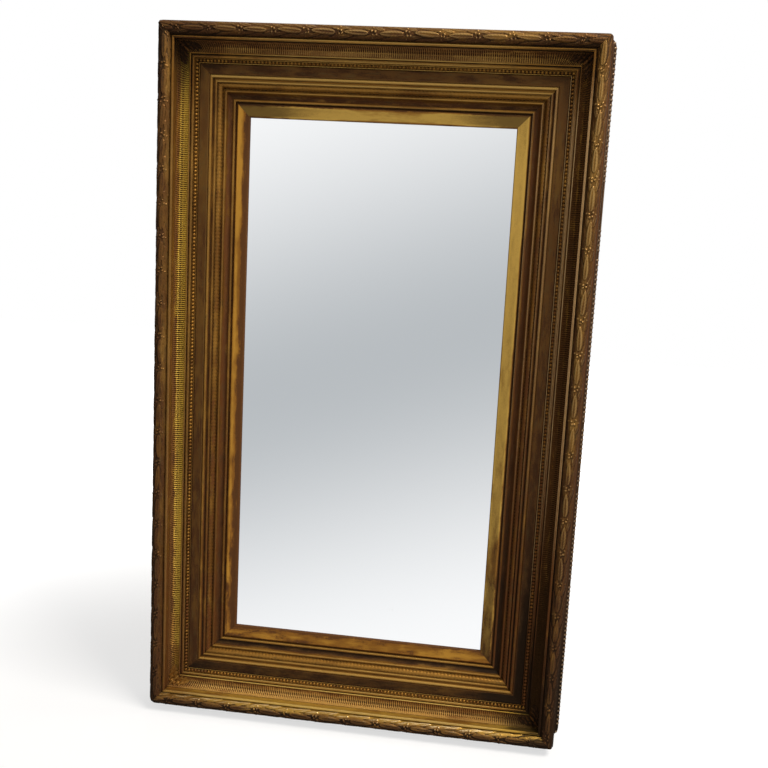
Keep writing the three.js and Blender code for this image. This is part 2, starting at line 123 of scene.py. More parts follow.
class Look:
    """The nodes of a material, or of the room, as they are laid. A colour is given as it is seen."""

    def __init__(self, name, kind=bpy.data.materials):
        self.owner = kind.new(name)
        self.owner.use_nodes = True
        self.tree = self.owner.node_tree
        self.tree.nodes.clear()

    def node(self, kind, inputs=None, **settings):
        """Adds a node with its settings, links each input to a socket or sets it to a value, and
        gives the node's outputs."""
        node = self.tree.nodes.new("ShaderNode" + kind)
        for key, value in settings.items():
            setattr(node, key, value)
        for key, value in (inputs or {}).items():
            if isinstance(value, bpy.types.NodeSocket):
                self.tree.links.new(value, node.inputs[key])
            else:
                node.inputs[key].default_value = value
        return node.outputs

    def place(self):
        """Where the point lies in the frame, in metres."""
        return self.node("TexCoord")["Object"]

    def maths(self, operation, *values):
        """One arithmetic step."""
        return self.node("Math", dict(enumerate(values)), operation=operation)[0]

    def times(self, value, factor, more=0.0):
        """value * factor + more."""
        return self.maths("MULTIPLY_ADD", value, factor, more)

    def plus(self, first, second):
        """first + second."""
        return self.maths("ADD", first, second)

    def less(self, first, second):
        """first - second."""
        return self.maths("SUBTRACT", first, second)

    def mottle(self, place, scale, detail=4.0, rough=0.6):
        """Cloudy noise of that scale, from 0 to 1 about 0.5."""
        inputs = {"Vector": place, "Scale": scale, "Detail": detail, "Roughness": rough}
        return self.node("TexNoise", inputs)["Fac"]

    def stretched(self, place, stretch):
        """The same place with each axis multiplied, which draws a pattern out or packs it."""
        return self.node("Mapping", {"Vector": place, "Scale": stretch})[0]

    def step_up(self, value, low, high, top=1.0):
        """0 below low and top above high, with a smooth rise between."""
        inputs = {"Value": value, "From Min": low, "From Max": high, "To Min": 0.0, "To Max": top}
        return self.node("MapRange", inputs, interpolation_type="SMOOTHSTEP")[0]

    def between(self, share, first, second):
        """first where share is 0, second where it is 1: each a colour or a socket."""
        first, second = (light_of(*c) if isinstance(c, tuple) else c for c in (first, second))
        return self.node("Mix", {0: share, 6: first, 7: second}, data_type="RGBA")[2]

    def bumped(self, height, strength, depth):
        """The way the surface faces where fine relief of that depth bends it."""
        return self.node("Bump", {"Height": height, "Strength": strength, "Distance": depth})[0]

    def skin(self, base, rough, metallic=0.0, gloss=0.5, bump=None):
        """A surface of that colour, roughness, share of bare metal, gloss and relief."""
        inputs = {"Base Color": base, "Roughness": rough, "Metallic": metallic, "Specular IOR Level": gloss}
        if bump is not None:
            inputs["Normal"] = bump
        return self.node("BsdfPrincipled", inputs)[0]

    def mixed(self, share, first, second):
        """One whole surface where share is 0, another where it is 1."""
        return self.node("MixShader", {0: share, 1: first, 2: second})[0]

    def close(self, surface):
        """Ends the material with that surface, and gives the material."""
        self.node("OutputMaterial", {"Surface": surface})
        return self.owner


def pine(name, grain_axis, pale, dark, dust, start=0.0):
    """Sawn pine: growth rings as lines of equal level over a slope that noise bends, each darkening to
    its late wood, with fine fibres along the grain, a few knots, and dust in broad patches."""
    look = Look(name)
    place = look.node("VectorMath", {0: look.place(), 1: (start, 0.0, start)})["Vector"]
    slow = [2.6] * 3
    slow[grain_axis] = 0.5
    fibre = [520.0] * 3
    fibre[grain_axis] = 8.0
    bend = look.mottle(look.stretched(place, slow), 1.0, 2.0, 0.4)
    across = look.node("SeparateXYZ", {0: place})[2 - grain_axis]
    level = look.times(across, 17.0, look.times(bend, 9.0))
    ring_inputs = {"Vector": look.node("CombineXYZ", {0: level})[0], "Scale": 1.0}
    rings = look.node("TexWave", ring_inputs, bands_direction="X", wave_profile="SAW")["Fac"]
    fibres = look.mottle(look.stretched(place, fibre), 1.0, 3.0, 0.7)
    grey = look.mottle(place, 4.0, 6.0)
    knots = look.node("TexVoronoi", {"Vector": place, "Scale": 4.5})["Distance"]
    wood = look.between(look.step_up(rings, 0.2, 1.0, 0.7), pale, dark)
    wood = look.between(look.step_up(fibres, 0.5, 0.7, 0.35), wood, dark)
    wood = look.between(look.less(0.8, look.step_up(knots, 0.04, 0.09, 0.8)), wood, dust)
    wood = look.between(look.step_up(grey, 0.42, 0.68, 0.55), wood, dust)
    bump = look.bumped(look.times(rings, 0.3, fibres), 0.4, 0.0004)
    return look.close(look.skin(wood, look.times(fibres, 0.2, 0.62), gloss=0.3, bump=bump))


PINE_PALE = (188, 152, 104)
PINE_DARK = (146, 104, 60)
PINE_DUST = (112, 88, 62)
upright_pine = pine("pine_upright", 2, PINE_PALE, PINE_DARK, PINE_DUST)
cross_pine = pine("pine_cross", 0, PINE_PALE, PINE_DARK, PINE_DUST, 0.37)


def give(node, finish):
    """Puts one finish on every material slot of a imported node."""
    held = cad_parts[node]
    for slot in held.material_slots:
        slot.material = finish


for side in SIDES:
    give(f"back_frame_{side}", upright_pine if side in ("left", "right") else cross_pine)


# ---- Inner moulding ----
# Softwood with gesso and cast composition, gilt: a fillet beside the slip, a dark hollow, a small
# astragal, an ovolo with a row of tongues, a step and a plain bead against the frieze.


def quad_curve(start, pull, end, steps=10):
    """A curve from start to end that leans towards pull: the weights are (1-t)^2, 2t(1-t) and t^2."""
    t = np.linspace(0, 1, steps)[:, None]
    start, pull, end = map(np.array, (start, pull, end))
    return (1 - t) ** 2 * start + 2 * t * (1 - t) * pull + t**2 * end


def cubic_curve(start, first, second, end, steps=24):
    """A curve with two pulls: the weights are (1-t)^3, 3t(1-t)^2, 3t^2(1-t) and t^3."""
    t = np.linspace(0, 1, steps)[:, None]
    start, first, second, end = map(np.array, (start, first, second, end))
    return (1 - t) ** 3 * start + 3 * t * (1 - t) ** 2 * first + 3 * t**2 * (1 - t) * second + t**3 * end


def half_round(start, width, crest, steps=14):
    """A bead: half a circle of that width whose top is at crest."""
    turn = np.linspace(np.pi, 0, steps)
    radius = width / 2
    return np.stack([start + radius + radius * np.cos(turn), crest - radius + radius * np.sin(turn)], axis=-1)


def fillet(start, width, height, ease=0.9):
    """A flat strip with both edges softened."""
    return [(start, height - ease), (start + ease, height), (start + width - ease, height),
            (start + width, height - ease)]


def travel(line):
    """How far along a line each of its points lies from the first."""
    return np.concatenate([[0], np.hypot(*np.diff(line, axis=0).T).cumsum()])


def even_steps(corners, step=0.7):
    """Points at even distances along a line through the corners, which softens each by a hair."""
    corners = np.vstack(corners)
    travelled = travel(corners)
    count = max(2, round(travelled[-1] / step) + 1)
    at = np.linspace(0, travelled[-1], count)
    return np.stack([np.interp(at, travelled, corners[:, k]) for k in (0, 1)], axis=-1)


def places_along(side, middle, step=14):
    """Stations from mitre to mitre at that middle: even steps, in millimetres, and closer ones in the
    last stretch."""
    full = SIDES[side][0] + middle * MM
    calm = full - MITRE_REACH
    inner = np.linspace(-calm, calm, max(2, round(2 * calm / (step * MM))))
    end = np.linspace(calm, full, 19)[1:]
    return np.concatenate([-end[::-1], inner, end])


def whole_pitches(side, middle, pitch, steps):
    """Stations from mitre to mitre at that middle for a pattern of that pitch, which is eased until a
    whole number fits, with so many steps to each, and how many pitches along each station lies."""
    length = 2 * (SIDES[side][0] + middle * MM)
    count = round(length / (pitch * MM))
    eased = length / count
    run = np.arange(count * steps + 1) * eased / steps - length / 2
    return run, run / eased


def neighbours_mean(points, rounds, both_ways):
    """Each point of a grid replaced by the mean of itself and its neighbours, several times over."""
    for _ in range(rounds):
        padded = np.pad(points, ((0, 0), (1, 1), (0, 0)), mode="edge")
        points = (padded[:, :-2] + padded[:, 1:-1] + padded[:, 2:]) / 3
        if both_ways:
            padded = np.pad(points, ((1, 1), (0, 0), (0, 0)), mode="edge")
            points = (padded[:-2] + padded[1:-1] + padded[2:]) / 3
    return points


def grid_normals(points):
    """The direction that faces outwards: the step across the grid crossed with the step along it."""
    normal = np.cross(np.gradient(points, axis=1), np.gradient(points, axis=0))
    return normal / np.maximum(np.linalg.norm(normal, axis=-1, keepdims=True), 1e-12)


def standing_of(points, rounds=10, both_ways=False, scale=0.55 * MM):
    """How proud a point stands (up to 1) or how deep it lies (down to -1): its height above the mean
    of its surroundings, measured along the normal."""
    height = ((points - neighbours_mean(points, rounds, both_ways)) * grid_normals(points)).sum(axis=-1)
    return np.clip(height / scale, -1, 1)


# How far soot and painted corner shade reach from either end of each side, in millimetres, and how
# thick they lie there.
SOOT_AND_SHADE = {
    "bottom": ((60, 0.3), (72, 2.2)),
    "left": ((115, 1.5), (60, 0.3)),
    "top": ((135, 1.5), (115, 1.3)),
    "right": ((320, 2.0), (85, 1.0)),
}
# How well leaf and tone have lasted at the two ends of each side, against 1 in between.
LASTING = {"bottom": (0.85, 1.15), "left": (1.5, 0.65), "top": (1.15, 0.85), "right": (0.45, 1.2)}


def soot_and_shade_on(side, along, out):
    """Soot and painted corner shade at each point: from each end it falls off as
    exp(-(distance / reach)^2), where distance is measured along the side from its mitre. It is thin
    by the plate, thick from the pearls to the wall, and only half as thick on the torus."""
    total = np.zeros(np.broadcast(along, out).shape)
    for way, (reach, thick) in zip((-1, 1), SOOT_AND_SHADE[side]):
        distance = np.maximum(SIDES[side][0] + out - way * along, 0)
        total = total + thick * np.exp(-((distance / (reach * MM)) ** 2))
    return total * np.interp(out / MM, (82, 120, 150, 158), (0.15, 1, 1, 0.5))


def lasting_on(side, along):
    """How well the surface has lasted at each point: it changes evenly from end to end."""
    half = SIDES[side][0] + 100 * MM
    return np.interp(along, (-half, half), LASTING[side])


def quads(index, round_along=False, round_across=False):
    """The four-cornered faces of a grid of point numbers, which may close on itself either way."""
    grid = np.pad(index, ((0, int(round_along)), (0, int(round_across))), mode="wrap")
    return np.stack([grid[:-1, :-1], grid[:-1, 1:], grid[1:, 1:], grid[1:, :-1]], axis=-1).reshape(-1, 4)


def shell(points, faces, finish, lay, standing, kept):
    """One closed skin of a piece: its points, its faces, and what its finish reads at each point."""
    flat = points.reshape(-1, 3)
    return {
        "points": flat, "faces": faces, "finish": finish,
        "lay": np.pad(lay.reshape(-1, lay.shape[-1]), ((0, 0), (0, 3 - lay.shape[-1]))),
        "standing": np.broadcast_to(standing, points.shape[:-1]).ravel(),
        "kept": np.broadcast_to(kept, points.shape[:-1]).ravel(),
    }


def carried(side, run, section, middle, kept, back, finish=0, relief=None, depth=0.55, grime_and_shade=0.0):
    """A closed section carried along a side. section is (m, 2) in millimetres and faces the viewer;
    back closes it behind. relief (n, m) lifts the front points along their normals, and depth is the
    height in millimetres that counts as fully proud or fully hollow. grime_and_shade, one value or
    (m) or (n, m), darkens the section besides, both as settled dust and as painted shade."""
    section = np.broadcast_to(np.asarray(section, float), (len(run), *np.shape(section)[-2:])) * MM
    out, front = section[..., 0], section[..., 1]
    if relief is not None:
        slope = np.gradient(section, axis=1)
        slope /= np.linalg.norm(slope, axis=-1, keepdims=True)
        out = out - slope[..., 1] * relief
        front = front + slope[..., 0] * relief
    waves = sum(np.sin(run * along + SIDES[side][2] * shift) for along, shift in WAVES)
    front = front - WAVE * (2 + waves[:, None]) / 2
    travelled = np.hypot(np.diff(out, axis=1), np.diff(front, axis=1)).cumsum(axis=1)
    across = np.pad(travelled, ((0, 0), (1, 0)))
    along, out = to_mitre(side, run[:, None], out, middle * MM)
    skin = lay_on_side(side, along, out, front)
    standing = standing_of(skin, both_ways=relief is not None, scale=depth * MM)
    lasting = lasting_on(side, along)
    # Soot, grime and painted shade sink each point, and the gilding darkens what sinks.
    standing = standing - grime_and_shade - (0.8 + np.clip(grime_and_shade, 0, 1)) * soot_and_shade_on(side, along, out)
    standing = standing + 0.5 * (lasting - 1)
    rear = np.broadcast_to(np.asarray(back, float) * MM, (len(run), len(back), 2))
    rear_along, rear_out = to_mitre(side, run[:, None], rear[..., 0], middle * MM)
    points = np.concatenate([skin, lay_on_side(side, rear_along, rear_out, rear[..., 1])], axis=1)
    count, width = points.shape[:2]
    index = np.arange(count * width).reshape(count, width)
    faces = [quads(index, round_across=True), index[0][::-1][None], index[-1][None]]
    lay = np.zeros((count, width, 3))
    lay[..., 2] = SIDES[side][2]
    lay[:, :skin.shape[1], 0] = along
    lay[:, :skin.shape[1], 1] = across
    stands = np.pad(standing, ((0, 0), (0, len(back))), constant_values=-1)
    holds = np.pad(kept * lasting, ((0, 0), (0, len(back))))
    return shell(points, faces, finish, lay, stands, holds)


def build(name, shells, finishes, nodes, body="frame", sharp=50):
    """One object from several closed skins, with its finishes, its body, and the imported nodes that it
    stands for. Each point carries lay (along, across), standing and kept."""
    points = np.concatenate([s["points"] for s in shells])
    starts = np.cumsum([0] + [len(s["points"]) for s in shells[:-1]])
    faces = [(f + start, s["finish"]) for s, start in zip(shells, starts) for f in s["faces"]]
    corners = np.concatenate([f.ravel() for f, _ in faces]).astype(np.int32)
    sizes = np.concatenate([np.full(len(f), f.shape[1]) for f, _ in faces])
    which = np.concatenate([np.full(len(f), finish) for f, finish in faces])
    mesh = bpy.data.meshes.new(name)
    mesh.vertices.add(len(points))
    mesh.vertices.foreach_set("co", points.astype(np.float32).ravel())
    mesh.loops.add(len(corners))
    mesh.loops.foreach_set("vertex_index", corners)
    mesh.polygons.add(len(sizes))
    loop_starts = np.concatenate([[0], np.cumsum(sizes)[:-1]]).astype(np.int32)
    mesh.polygons.foreach_set("loop_start", loop_starts)
    for finish in finishes:
        mesh.materials.append(finish)
    mesh.polygons.foreach_set("material_index", which.astype(np.int32))
    mesh.update(calc_edges=True)
    mesh.validate()
    mesh.shade_smooth()
    mesh.set_sharp_from_angle(angle=np.radians(sharp))
    lay = np.concatenate([s["lay"] for s in shells])
    lay = lay.astype(np.float32).ravel()
    mesh.attributes.new("lay", "FLOAT_VECTOR", "POINT").data.foreach_set("vector", lay)
    for key in ("standing", "kept"):
        values = np.concatenate([s[key] for s in shells]).astype(np.float32)
        mesh.attributes.new(key, "FLOAT", "POINT").data.foreach_set("value", values)
    piece = bpy.data.objects.new(name, mesh)
    bpy.context.scene.collection.objects.link(piece)
    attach(piece, body)
    if nodes:
        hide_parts(*nodes)
    return piece


OLIVE_FILM = (84, 68, 38)


def gilding(name, leaf, toned, bole, grime_and_shade, rubbed, shine, dirt_and_shade=0.93, rub=0.4, metal=0.6, film=0.4):
    """Leaf over bole over gesso. The leaf's tone drifts in patches; where kept is low it is worn down
    to the bole, and some tables raise or lower kept to paint light and shade. A dull olive film lies
    here and there. Grime and painted shade darken the hollows, and edges that stand proud are rubbed
    bright. Fine strokes run along the moulding."""
    look = Look(name)
    place = look.place()
    lay = look.node("Attribute", attribute_name="lay")["Vector"]
    standing, kept = (look.node("Attribute", attribute_name=key)["Fac"] for key in ("standing", "kept"))
    clouds = look.mottle(place, 6.0, 3.0)
    patches = look.mottle(look.stretched(lay, (17.0, 64.0, 5.0)), 1.0, 6.0, 0.62)
    specks = look.mottle(place, 420.0, 3.0, 0.65)
    strokes = look.mottle(look.stretched(lay, (16.0, 620.0, 1.0)), 1.0, 3.0, 0.6)
    wear = look.times(strokes, 0.25, look.times(patches, 0.55, look.times(specks, 0.2)))
    gone = look.step_up(look.less(wear, look.times(kept, 0.42, 0.33)), -0.03, 0.05)
    drift = look.times(clouds, 0.6, look.times(patches, 0.4))
    drift = look.less(drift, look.times(kept, 0.4, -0.26))
    skin = look.between(look.step_up(drift, 0.42, 0.6), leaf, toned)
    skin = look.between(look.times(gone, 0.9), skin, bole)
    filmed = look.mottle(look.stretched(lay, (36.0, 120.0, 9.0)), 1.0, 6.0, 0.66)
    skin = look.between(look.step_up(filmed, 0.5, 0.66, film), skin, OLIVE_FILM)
    depth = look.times(specks, 0.5, look.times(patches, 0.7, -0.6))
    dirt_and_shade_mask = look.step_up(look.less(depth, standing), 0.1, 1.0, dirt_and_shade)
    skin = look.between(dirt_and_shade_mask, skin, grime_and_shade)
    bright = look.times(specks, 0.6, look.plus(standing, -0.3))
    skin = look.between(look.step_up(bright, 0.35, 1.1, rub), skin, rubbed)
    covered = look.times(look.less(1.0, gone), look.less(1.0, dirt_and_shade_mask))
    rough = look.times(dirt_and_shade_mask, 0.3, look.times(gone, 0.2, shine))
    rough = look.times(specks, 0.12, look.less(rough, 0.06))
    relief = look.times(strokes, 0.5, look.times(specks, 0.5))
    bump = look.bumped(look.less(relief, look.times(gone, 0.25)), 0.45, 0.0004)
    return look.close(look.skin(skin, rough, look.times(covered, metal), 0.12, bump))


# The dark laid in the hollows: grime, and painted shade as well.
GRIME_AND_SHADE = (29, 19, 9)
RED_BOLE = (88, 50, 20)
AGED_LEAF = (144, 102, 42)
TONED_LEAF = (110, 72, 28)
RUBBED_LEAF = (176, 138, 76)
aged_gilt = gilding("aged_gilt", AGED_LEAF, TONED_LEAF, RED_BOLE, GRIME_AND_SHADE, RUBBED_LEAF,
                    shine=0.4, rub=0.28)
worn_gilt = gilding("worn_gilt", AGED_LEAF, TONED_LEAF, RED_BOLE, GRIME_AND_SHADE, (196, 160, 110),
                    shine=0.4, rub=0.75)
polished_gilt = gilding("polished_gilt", AGED_LEAF, TONED_LEAF, RED_BOLE, GRIME_AND_SHADE, (200, 162, 88),
                        shine=0.38, rub=0.6)
# The bottom has kept most leaf, and the right is the most rubbed.
GILT = {"bottom": polished_gilt, "left": aged_gilt, "top": polished_gilt, "right": worn_gilt}
LASTED = {"bottom": 1.65, "left": 0.9, "top": 1.5, "right": 0.8}

INNER_MIDDLE = 57
TONGUE_PITCH = 8.4
TONGUE_STEPS = 7
TONGUE_DEPTH = 0.95 * MM
inner_front = even_steps([
    (31.8, 0.5), *fillet(31.8, 4.8, 7.2),
    cubic_curve((36.6, 6.2), (39.8, 4.0), (46.2, 4.0), (49.4, 12.4)),
    half_round(49.4, 5.2, 15), (54.6, 12.5), (56.6, 12.5), (56.6, 10.8), (58.6, 11.5),
    (67.4, 19.6), (67.4, 20.5), (68.5, 20.5), *fillet(68.5, 4.6, 26), (73.1, 24.6), (76.3, 24.6),
    half_round(76.3, 7.1, 32.4), (83.4, 0.3),
])
inner_back = [(59.7, 0), (59.7, -16), (40.7, -16), (40.7, 0.5)]
# Leaf left and grime across the section; the little leaf and the grime in the hollow beside the slip and in
# the quirks also paint the shade that lies there.
INNER_AT = [31, 36, 37, 48, 50, 68, 70, 76, 78, 84]
inner_leaf_and_shade = np.interp(inner_front[:, 0], INNER_AT, [0.5, 0.5, 0.2, 0.25, 0.5, 0.45, 0.5, 0.4, 0.75, 0.6])
inner_grime_and_shade = np.interp(inner_front[:, 0], INNER_AT, [0, 0, 0.25, 0.1, 0, 0.2, 0, 0.1, -0.1, 0.1])
# Grime and painted shade in the hollow, and how much the bead at the outer edge is polished by hands and
# dusters.
HOLLOW_GRIME_AND_SHADE = {"bottom": 0.35, "left": 0.0, "top": 0.0, "right": -0.05}
BEAD_POLISH = {"bottom": 0.25, "left": 0.0, "top": 0.8, "right": 0.1}
ovolo_front = even_steps([quad_curve((56.8, 12.6), (57.8, 22), (66.1, 22), 20), (66.3, 20.7)], 1.1)
ovolo_back = [(66.1, 19), (58.5, 12)]


def tongues(pitches, section):
    """Tongues that hang from the upper edge of the ovolo: a rounded cut between two of them opens
    towards the foot, and a shallow groove follows each outline."""
    share = np.linspace(0, 1, len(section))[None]
    phase = np.abs(pitches[:, None] % 1 - 0.5) * 2
    half = 0.92 * np.sqrt(np.clip(1 - ((0.62 - share) / 0.62) ** 2, 0, 1))
    half = np.where(share > 0.62, 0.92 - 0.5 * (share - 0.62), half)
    edge = np.clip((phase - half) / 0.22, 0, 1)
    crown = 0.35 * (1 - np.clip(phase / np.maximum(half, 0.05), 0, 1) ** 2)
    return TONGUE_DEPTH * (crown - 0.35 - edge * (3 - 2 * edge) * edge)


for side in SIDES:
    run = places_along(side, INNER_MIDDLE)
    fine_run, pitches = whole_pitches(side, INNER_MIDDLE, TONGUE_PITCH, TONGUE_STEPS)
    row = carried(side, fine_run, ovolo_front, INNER_MIDDLE, 0.5 * LASTED[side], ovolo_back, depth=1.6,
                  relief=tongues(pitches, ovolo_front))
    hollow = np.interp(inner_front[:, 0], [36, 38, 47, 49], [0, 1, 1, 0]) * HOLLOW_GRIME_AND_SHADE[side]
    polish = np.interp(inner_front[:, 0], [66, 70, 84], [0, 0.5, 1]) * BEAD_POLISH[side]
    body = carried(side, run, inner_front, INNER_MIDDLE, inner_leaf_and_shade * LASTED[side] + 0.5 * polish,
                   inner_back, depth=0.8, grime_and_shade=inner_grime_and_shade + hollow - polish)
    build(f"{side}_inner_moulding", [body, row], [GILT[side]], [f"inner_moulding_{side}"])


# ---- Frieze moulding ----
# A broad flat toned dark with hardly any leaf left, then a course of cast pearls, each on the next, in
# its own bed, and a gilt fillet that stands above them.

TONED_DARK = (88, 57, 24)
DARK_LEAF = (104, 72, 30)
DARK_BOLE = (66, 39, 17)
dark_gilt = gilding("dark_gilt", DARK_LEAF, TONED_DARK, DARK_BOLE, GRIME_AND_SHADE, (126, 94, 50),
                    shine=0.5, metal=0.4)

FRIEZE_MIDDLE = 102
PEARL_PITCH = 8.22
PEARL_RADIUS = 3.75
PEARL_OUT = 111.1
PEARL_FRONT = 34
PEARL_BED_FROM = 105.8
frieze_front = even_steps([
    (83.7, 0.3), *fillet(83.7, 22, 31), (105.7, 33), (107.4, 33), (108.0, 32), (114.2, 32),
    (114.8, 33), (116.5, 33), *fillet(116.5, 5, 38), (121.5, 0.3),
])
# How much darker the flat of the frieze is on each side: most at the bottom.
FRIEZE_DARKER = {"bottom": 0.55, "left": 0.0, "top": -0.1, "right": 0.1}
flat_part = frieze_front[:, 0] <= PEARL_BED_FROM
bed_out = frieze_front[~flat_part, 0]
bed_kept = np.interp(bed_out, [106, 115, 117, 122], [0.55, 0.55, 0.5, 0.45])
bed_grime = np.interp(bed_out, [107.4, 108, 114.2, 114.8, 116.5, 117], [-1.0, 0.2, 0.2, -1.0, -1.0, 0])


def balls(centres, radius, lay, turns=10, rings=6, kept=0.6, flat=1.0, proud=0.8):
    """A small sphere at every centre: rings of points at even angles from pole to pole, and one
    point at each pole. It faces -Y with its pole, and flat thins it that way."""
    polar = np.linspace(0, np.pi, rings + 1)[1:-1, None]
    round_ = np.linspace(0, 2 * np.pi, turns, endpoint=False)[None]
    x, z = np.sin(polar) * np.cos(round_), np.sin(polar) * np.sin(round_)
    y = np.broadcast_to(-np.cos(polar) * flat, x.shape)
    unit = np.concatenate([np.stack([x, y, z], axis=-1).reshape(-1, 3), [[0, -flat, 0], [0, flat, 0]]])
    ring = np.arange((rings - 1) * turns).reshape(rings - 1, turns)
    beside = np.roll(ring, -1, axis=1)
    belt = quads(ring, round_across=True)
    front_pole, back_pole = len(unit) - 2, len(unit) - 1
    front_cap = np.stack([np.full(turns, front_pole), beside[0], ring[0]], axis=-1)
    back_cap = np.stack([np.full(turns, back_pole), ring[-1], beside[-1]], axis=-1)
    step = (np.arange(len(centres)) * len(unit))[:, None, None]
    faces = [(step + part).reshape(-1, part.shape[1]) for part in (belt, front_cap, back_cap)]
    size = np.broadcast_to(radius, len(centres))[:, None, None]
    points = centres[:, None] + unit[None] * size
    # The front pole counts as proud and the rim as sunk: the gilding rubs the front and darkens the rim, as
    # grime and as painted shade between neighbouring balls.
    stands = np.clip(-unit[:, 1] * proud - 0.1, -1, 1)
    spot = lay[:, None] + unit[None][..., [0, 2]] * size
    return shell(points, faces, 0, spot, np.broadcast_to(stands, points.shape[:-1]), kept)


PEARLS_KEPT = {"bottom": 0.72, "left": 0.62, "top": 0.72, "right": 0.55}
rng = np.random.default_rng(12)
for side in SIDES:
    half = SIDES[side][0] + PEARL_OUT * MM
    count = round(2 * half / (PEARL_PITCH * MM))
    at = np.linspace(-half, half, count + 1)
    if side in ("left", "right"):
        at = at[1:-1]
    centres = lay_on_side(side, at, PEARL_OUT * MM, PEARL_FRONT * MM)
    lay = np.stack([at, np.full(len(at), PEARL_OUT * MM)], axis=-1)
    size = PEARL_RADIUS * MM * rng.uniform(0.94, 1.0, len(at))
    kept = PEARLS_KEPT[side] * rng.uniform(0.75, 1.2, len(at)) * lasting_on(side, at)
    course = balls(centres, size, lay, kept=kept[:, None], proud=0.35)
    course["finish"] = 1
    run = places_along(side, FRIEZE_MIDDLE)
    dark = carried(side, run, frieze_front[flat_part], FRIEZE_MIDDLE, 0.45, [(105.6, 0), (83.7, 0)],
                   grime_and_shade=FRIEZE_DARKER[side])
    bed = carried(side, run, frieze_front[~flat_part], FRIEZE_MIDDLE, bed_kept * LASTED[side],
                  [(121.5, 0), (105.9, 0)], finish=1, grime_and_shade=bed_grime)
    build(f"{side}_frieze", [dark, bed, course], [dark_gilt, GILT[side]],
          [f"frieze_moulding_{side}"])


# ---- Outer moulding ----
# The deepest moulding: a groove, a floor cut across with flutes that sweep up into a plain upright
# wall, a fillet on top of it, the torus that carries the garland, and a hollow side behind.

OUTER_MIDDLE = 150
FLUTE_MIDDLE = 137
FLUTE_PITCH = 4.64
FLUTE_STEPS = 6
FLUTE_HALF = 1.9
FLUTE_DEPTH = 1.5 * MM
FLUTE_RUN_OUT = 9
TORUS_OUT = 168.3
TORUS_FRONT = 71
cove = even_steps([
    (126.95, 37.45), (135.85, 37.45),
    cubic_curve((135.85, 37.45), (144.15, 37.45), (148.25, 44.83), (148.25, 59.4)),
], 1.3)
FLUTED_TO = 56
flute_line = cove[cove[:, 1] < FLUTED_TO]
flute_gilt = gilding("flute_gilt", (184, 150, 60), (146, 104, 42), (92, 56, 26),
                     (44, 29, 12), (206, 172, 96), shine=0.5, dirt_and_shade=0.8, rub=0.35, metal=0.4,
                     film=0.25)
tan_flutes = gilding("tan_flutes", (192, 150, 80), (150, 106, 54), (100, 64, 32),
                     (48, 31, 15), (222, 190, 130), shine=0.5, dirt_and_shade=0.85, rub=0.6, metal=0.4,
                     film=0.1)
# A brighter and more rubbed copy of the gilding for the bottom's fluted moulding: the brightness is painted
# light, for a side that faces up into the light.
lit_rubbed_gilt = gilding("lit_rubbed_gilt", (190, 149, 62), (142, 97, 38), RED_BOLE, GRIME_AND_SHADE,
                       (222, 190, 114), shine=0.36, rub=0.5, film=0.2)
# How much leaf is left across the flutes, from the pearls to the wall, on each side's own band. It is
# painted light and shade as well: high on the left, whose flutes face the light, and low on the
# right, whose flutes lie in shade.
FLUTE_AT = [127, 131, 137, 142, 147]
FLUTE_LEAF_AND_LIGHT = {
    "left": [0.9, 1.1, 1.1, 0.8, 0.2],
    "right": [0.15, 0.2, 0.3, 0.3, 0.2],
    "top": [0.5, 0.6, 0.65, 0.5, 0.3],
    "bottom": [0.3, 0.45, 0.75, 0.9, 0.8],
}
# How hollow a flute has to be, in millimetres, to be full of grime and painted shade: less where it was never
# cleaned.
FLUTE_FULL = {"left": 2.8, "right": 2.2, "top": 2.2, "bottom": 1.7}
FLUTE_GRIME = {"left": 0.0, "right": -0.1, "top": -0.5, "bottom": 0.0}
# Painted shade on the plain upright wall: heavy on the top side, whose wall faces down away from the light.
WALL_SHADE = {"left": 0.0, "right": 0.0, "top": 1.2, "bottom": 0.1}
flute_back = [(149.4, 55.4), (149.4, 48), (144.5, 39.4), (138, 36), (127, 35.9)]
outer_front = even_steps([
    (121.8, 0.3), (121.8, 33.5), (124.6, 33.5), (124.6, 37.4), (125.2, 38), (126.8, 38), (126.9, 35),
    (137, 35), (145.5, 38), (150, 48), (150, 55.8), *cove[cove[:, 1] >= FLUTED_TO], (148.3, 73), (146.8, 73),
    *fillet(146.8, 5.2, 76.5), (152, 73.5), (154.8, 73), (181, 72.5), (183.2, 70.3),
    cubic_curve((184.4, 69.6), (180.3, 47.3), (180.3, 23.7), (190.8, 0.3)),
], 0.8)
outer_back = [(190.8, 0), (121.8, 0)]
OUTER_AT = [121, 124, 126, 147, 152, 178, 186]
outer_kept = np.interp(outer_front[:, 0], OUTER_AT, [0.4, 0.5, 0.5, 0.4, 0.55, 0.25, 0.2])
outer_grime = np.interp(outer_front[:, 0], [121, 124, 153, 156, 180], [0.3, 0, 0, 0.3, 0.6])
on_wall = np.abs(outer_front[:, 0] - 148.3) < 0.5


def flutes(pitches, line):
    """Flutes across the band: each cut is half an ellipse across its width. It starts in a round end
    beside the pearls, and runs out to nothing up the wall."""
    travelled = travel(line)[None]
    x = (pitches[:, None] % 1 - 0.5) * FLUTE_PITCH / FLUTE_HALF
    closing = np.clip(1 - (travelled - 0.4) / FLUTE_HALF, 0, None)
    run_out = np.clip((travelled[:, -1:] - travelled) / FLUTE_RUN_OUT, 0, 1) ** 0.7
    return -FLUTE_DEPTH * run_out * np.sqrt(np.clip(1 - x**2 - closing**2, 0, 1))


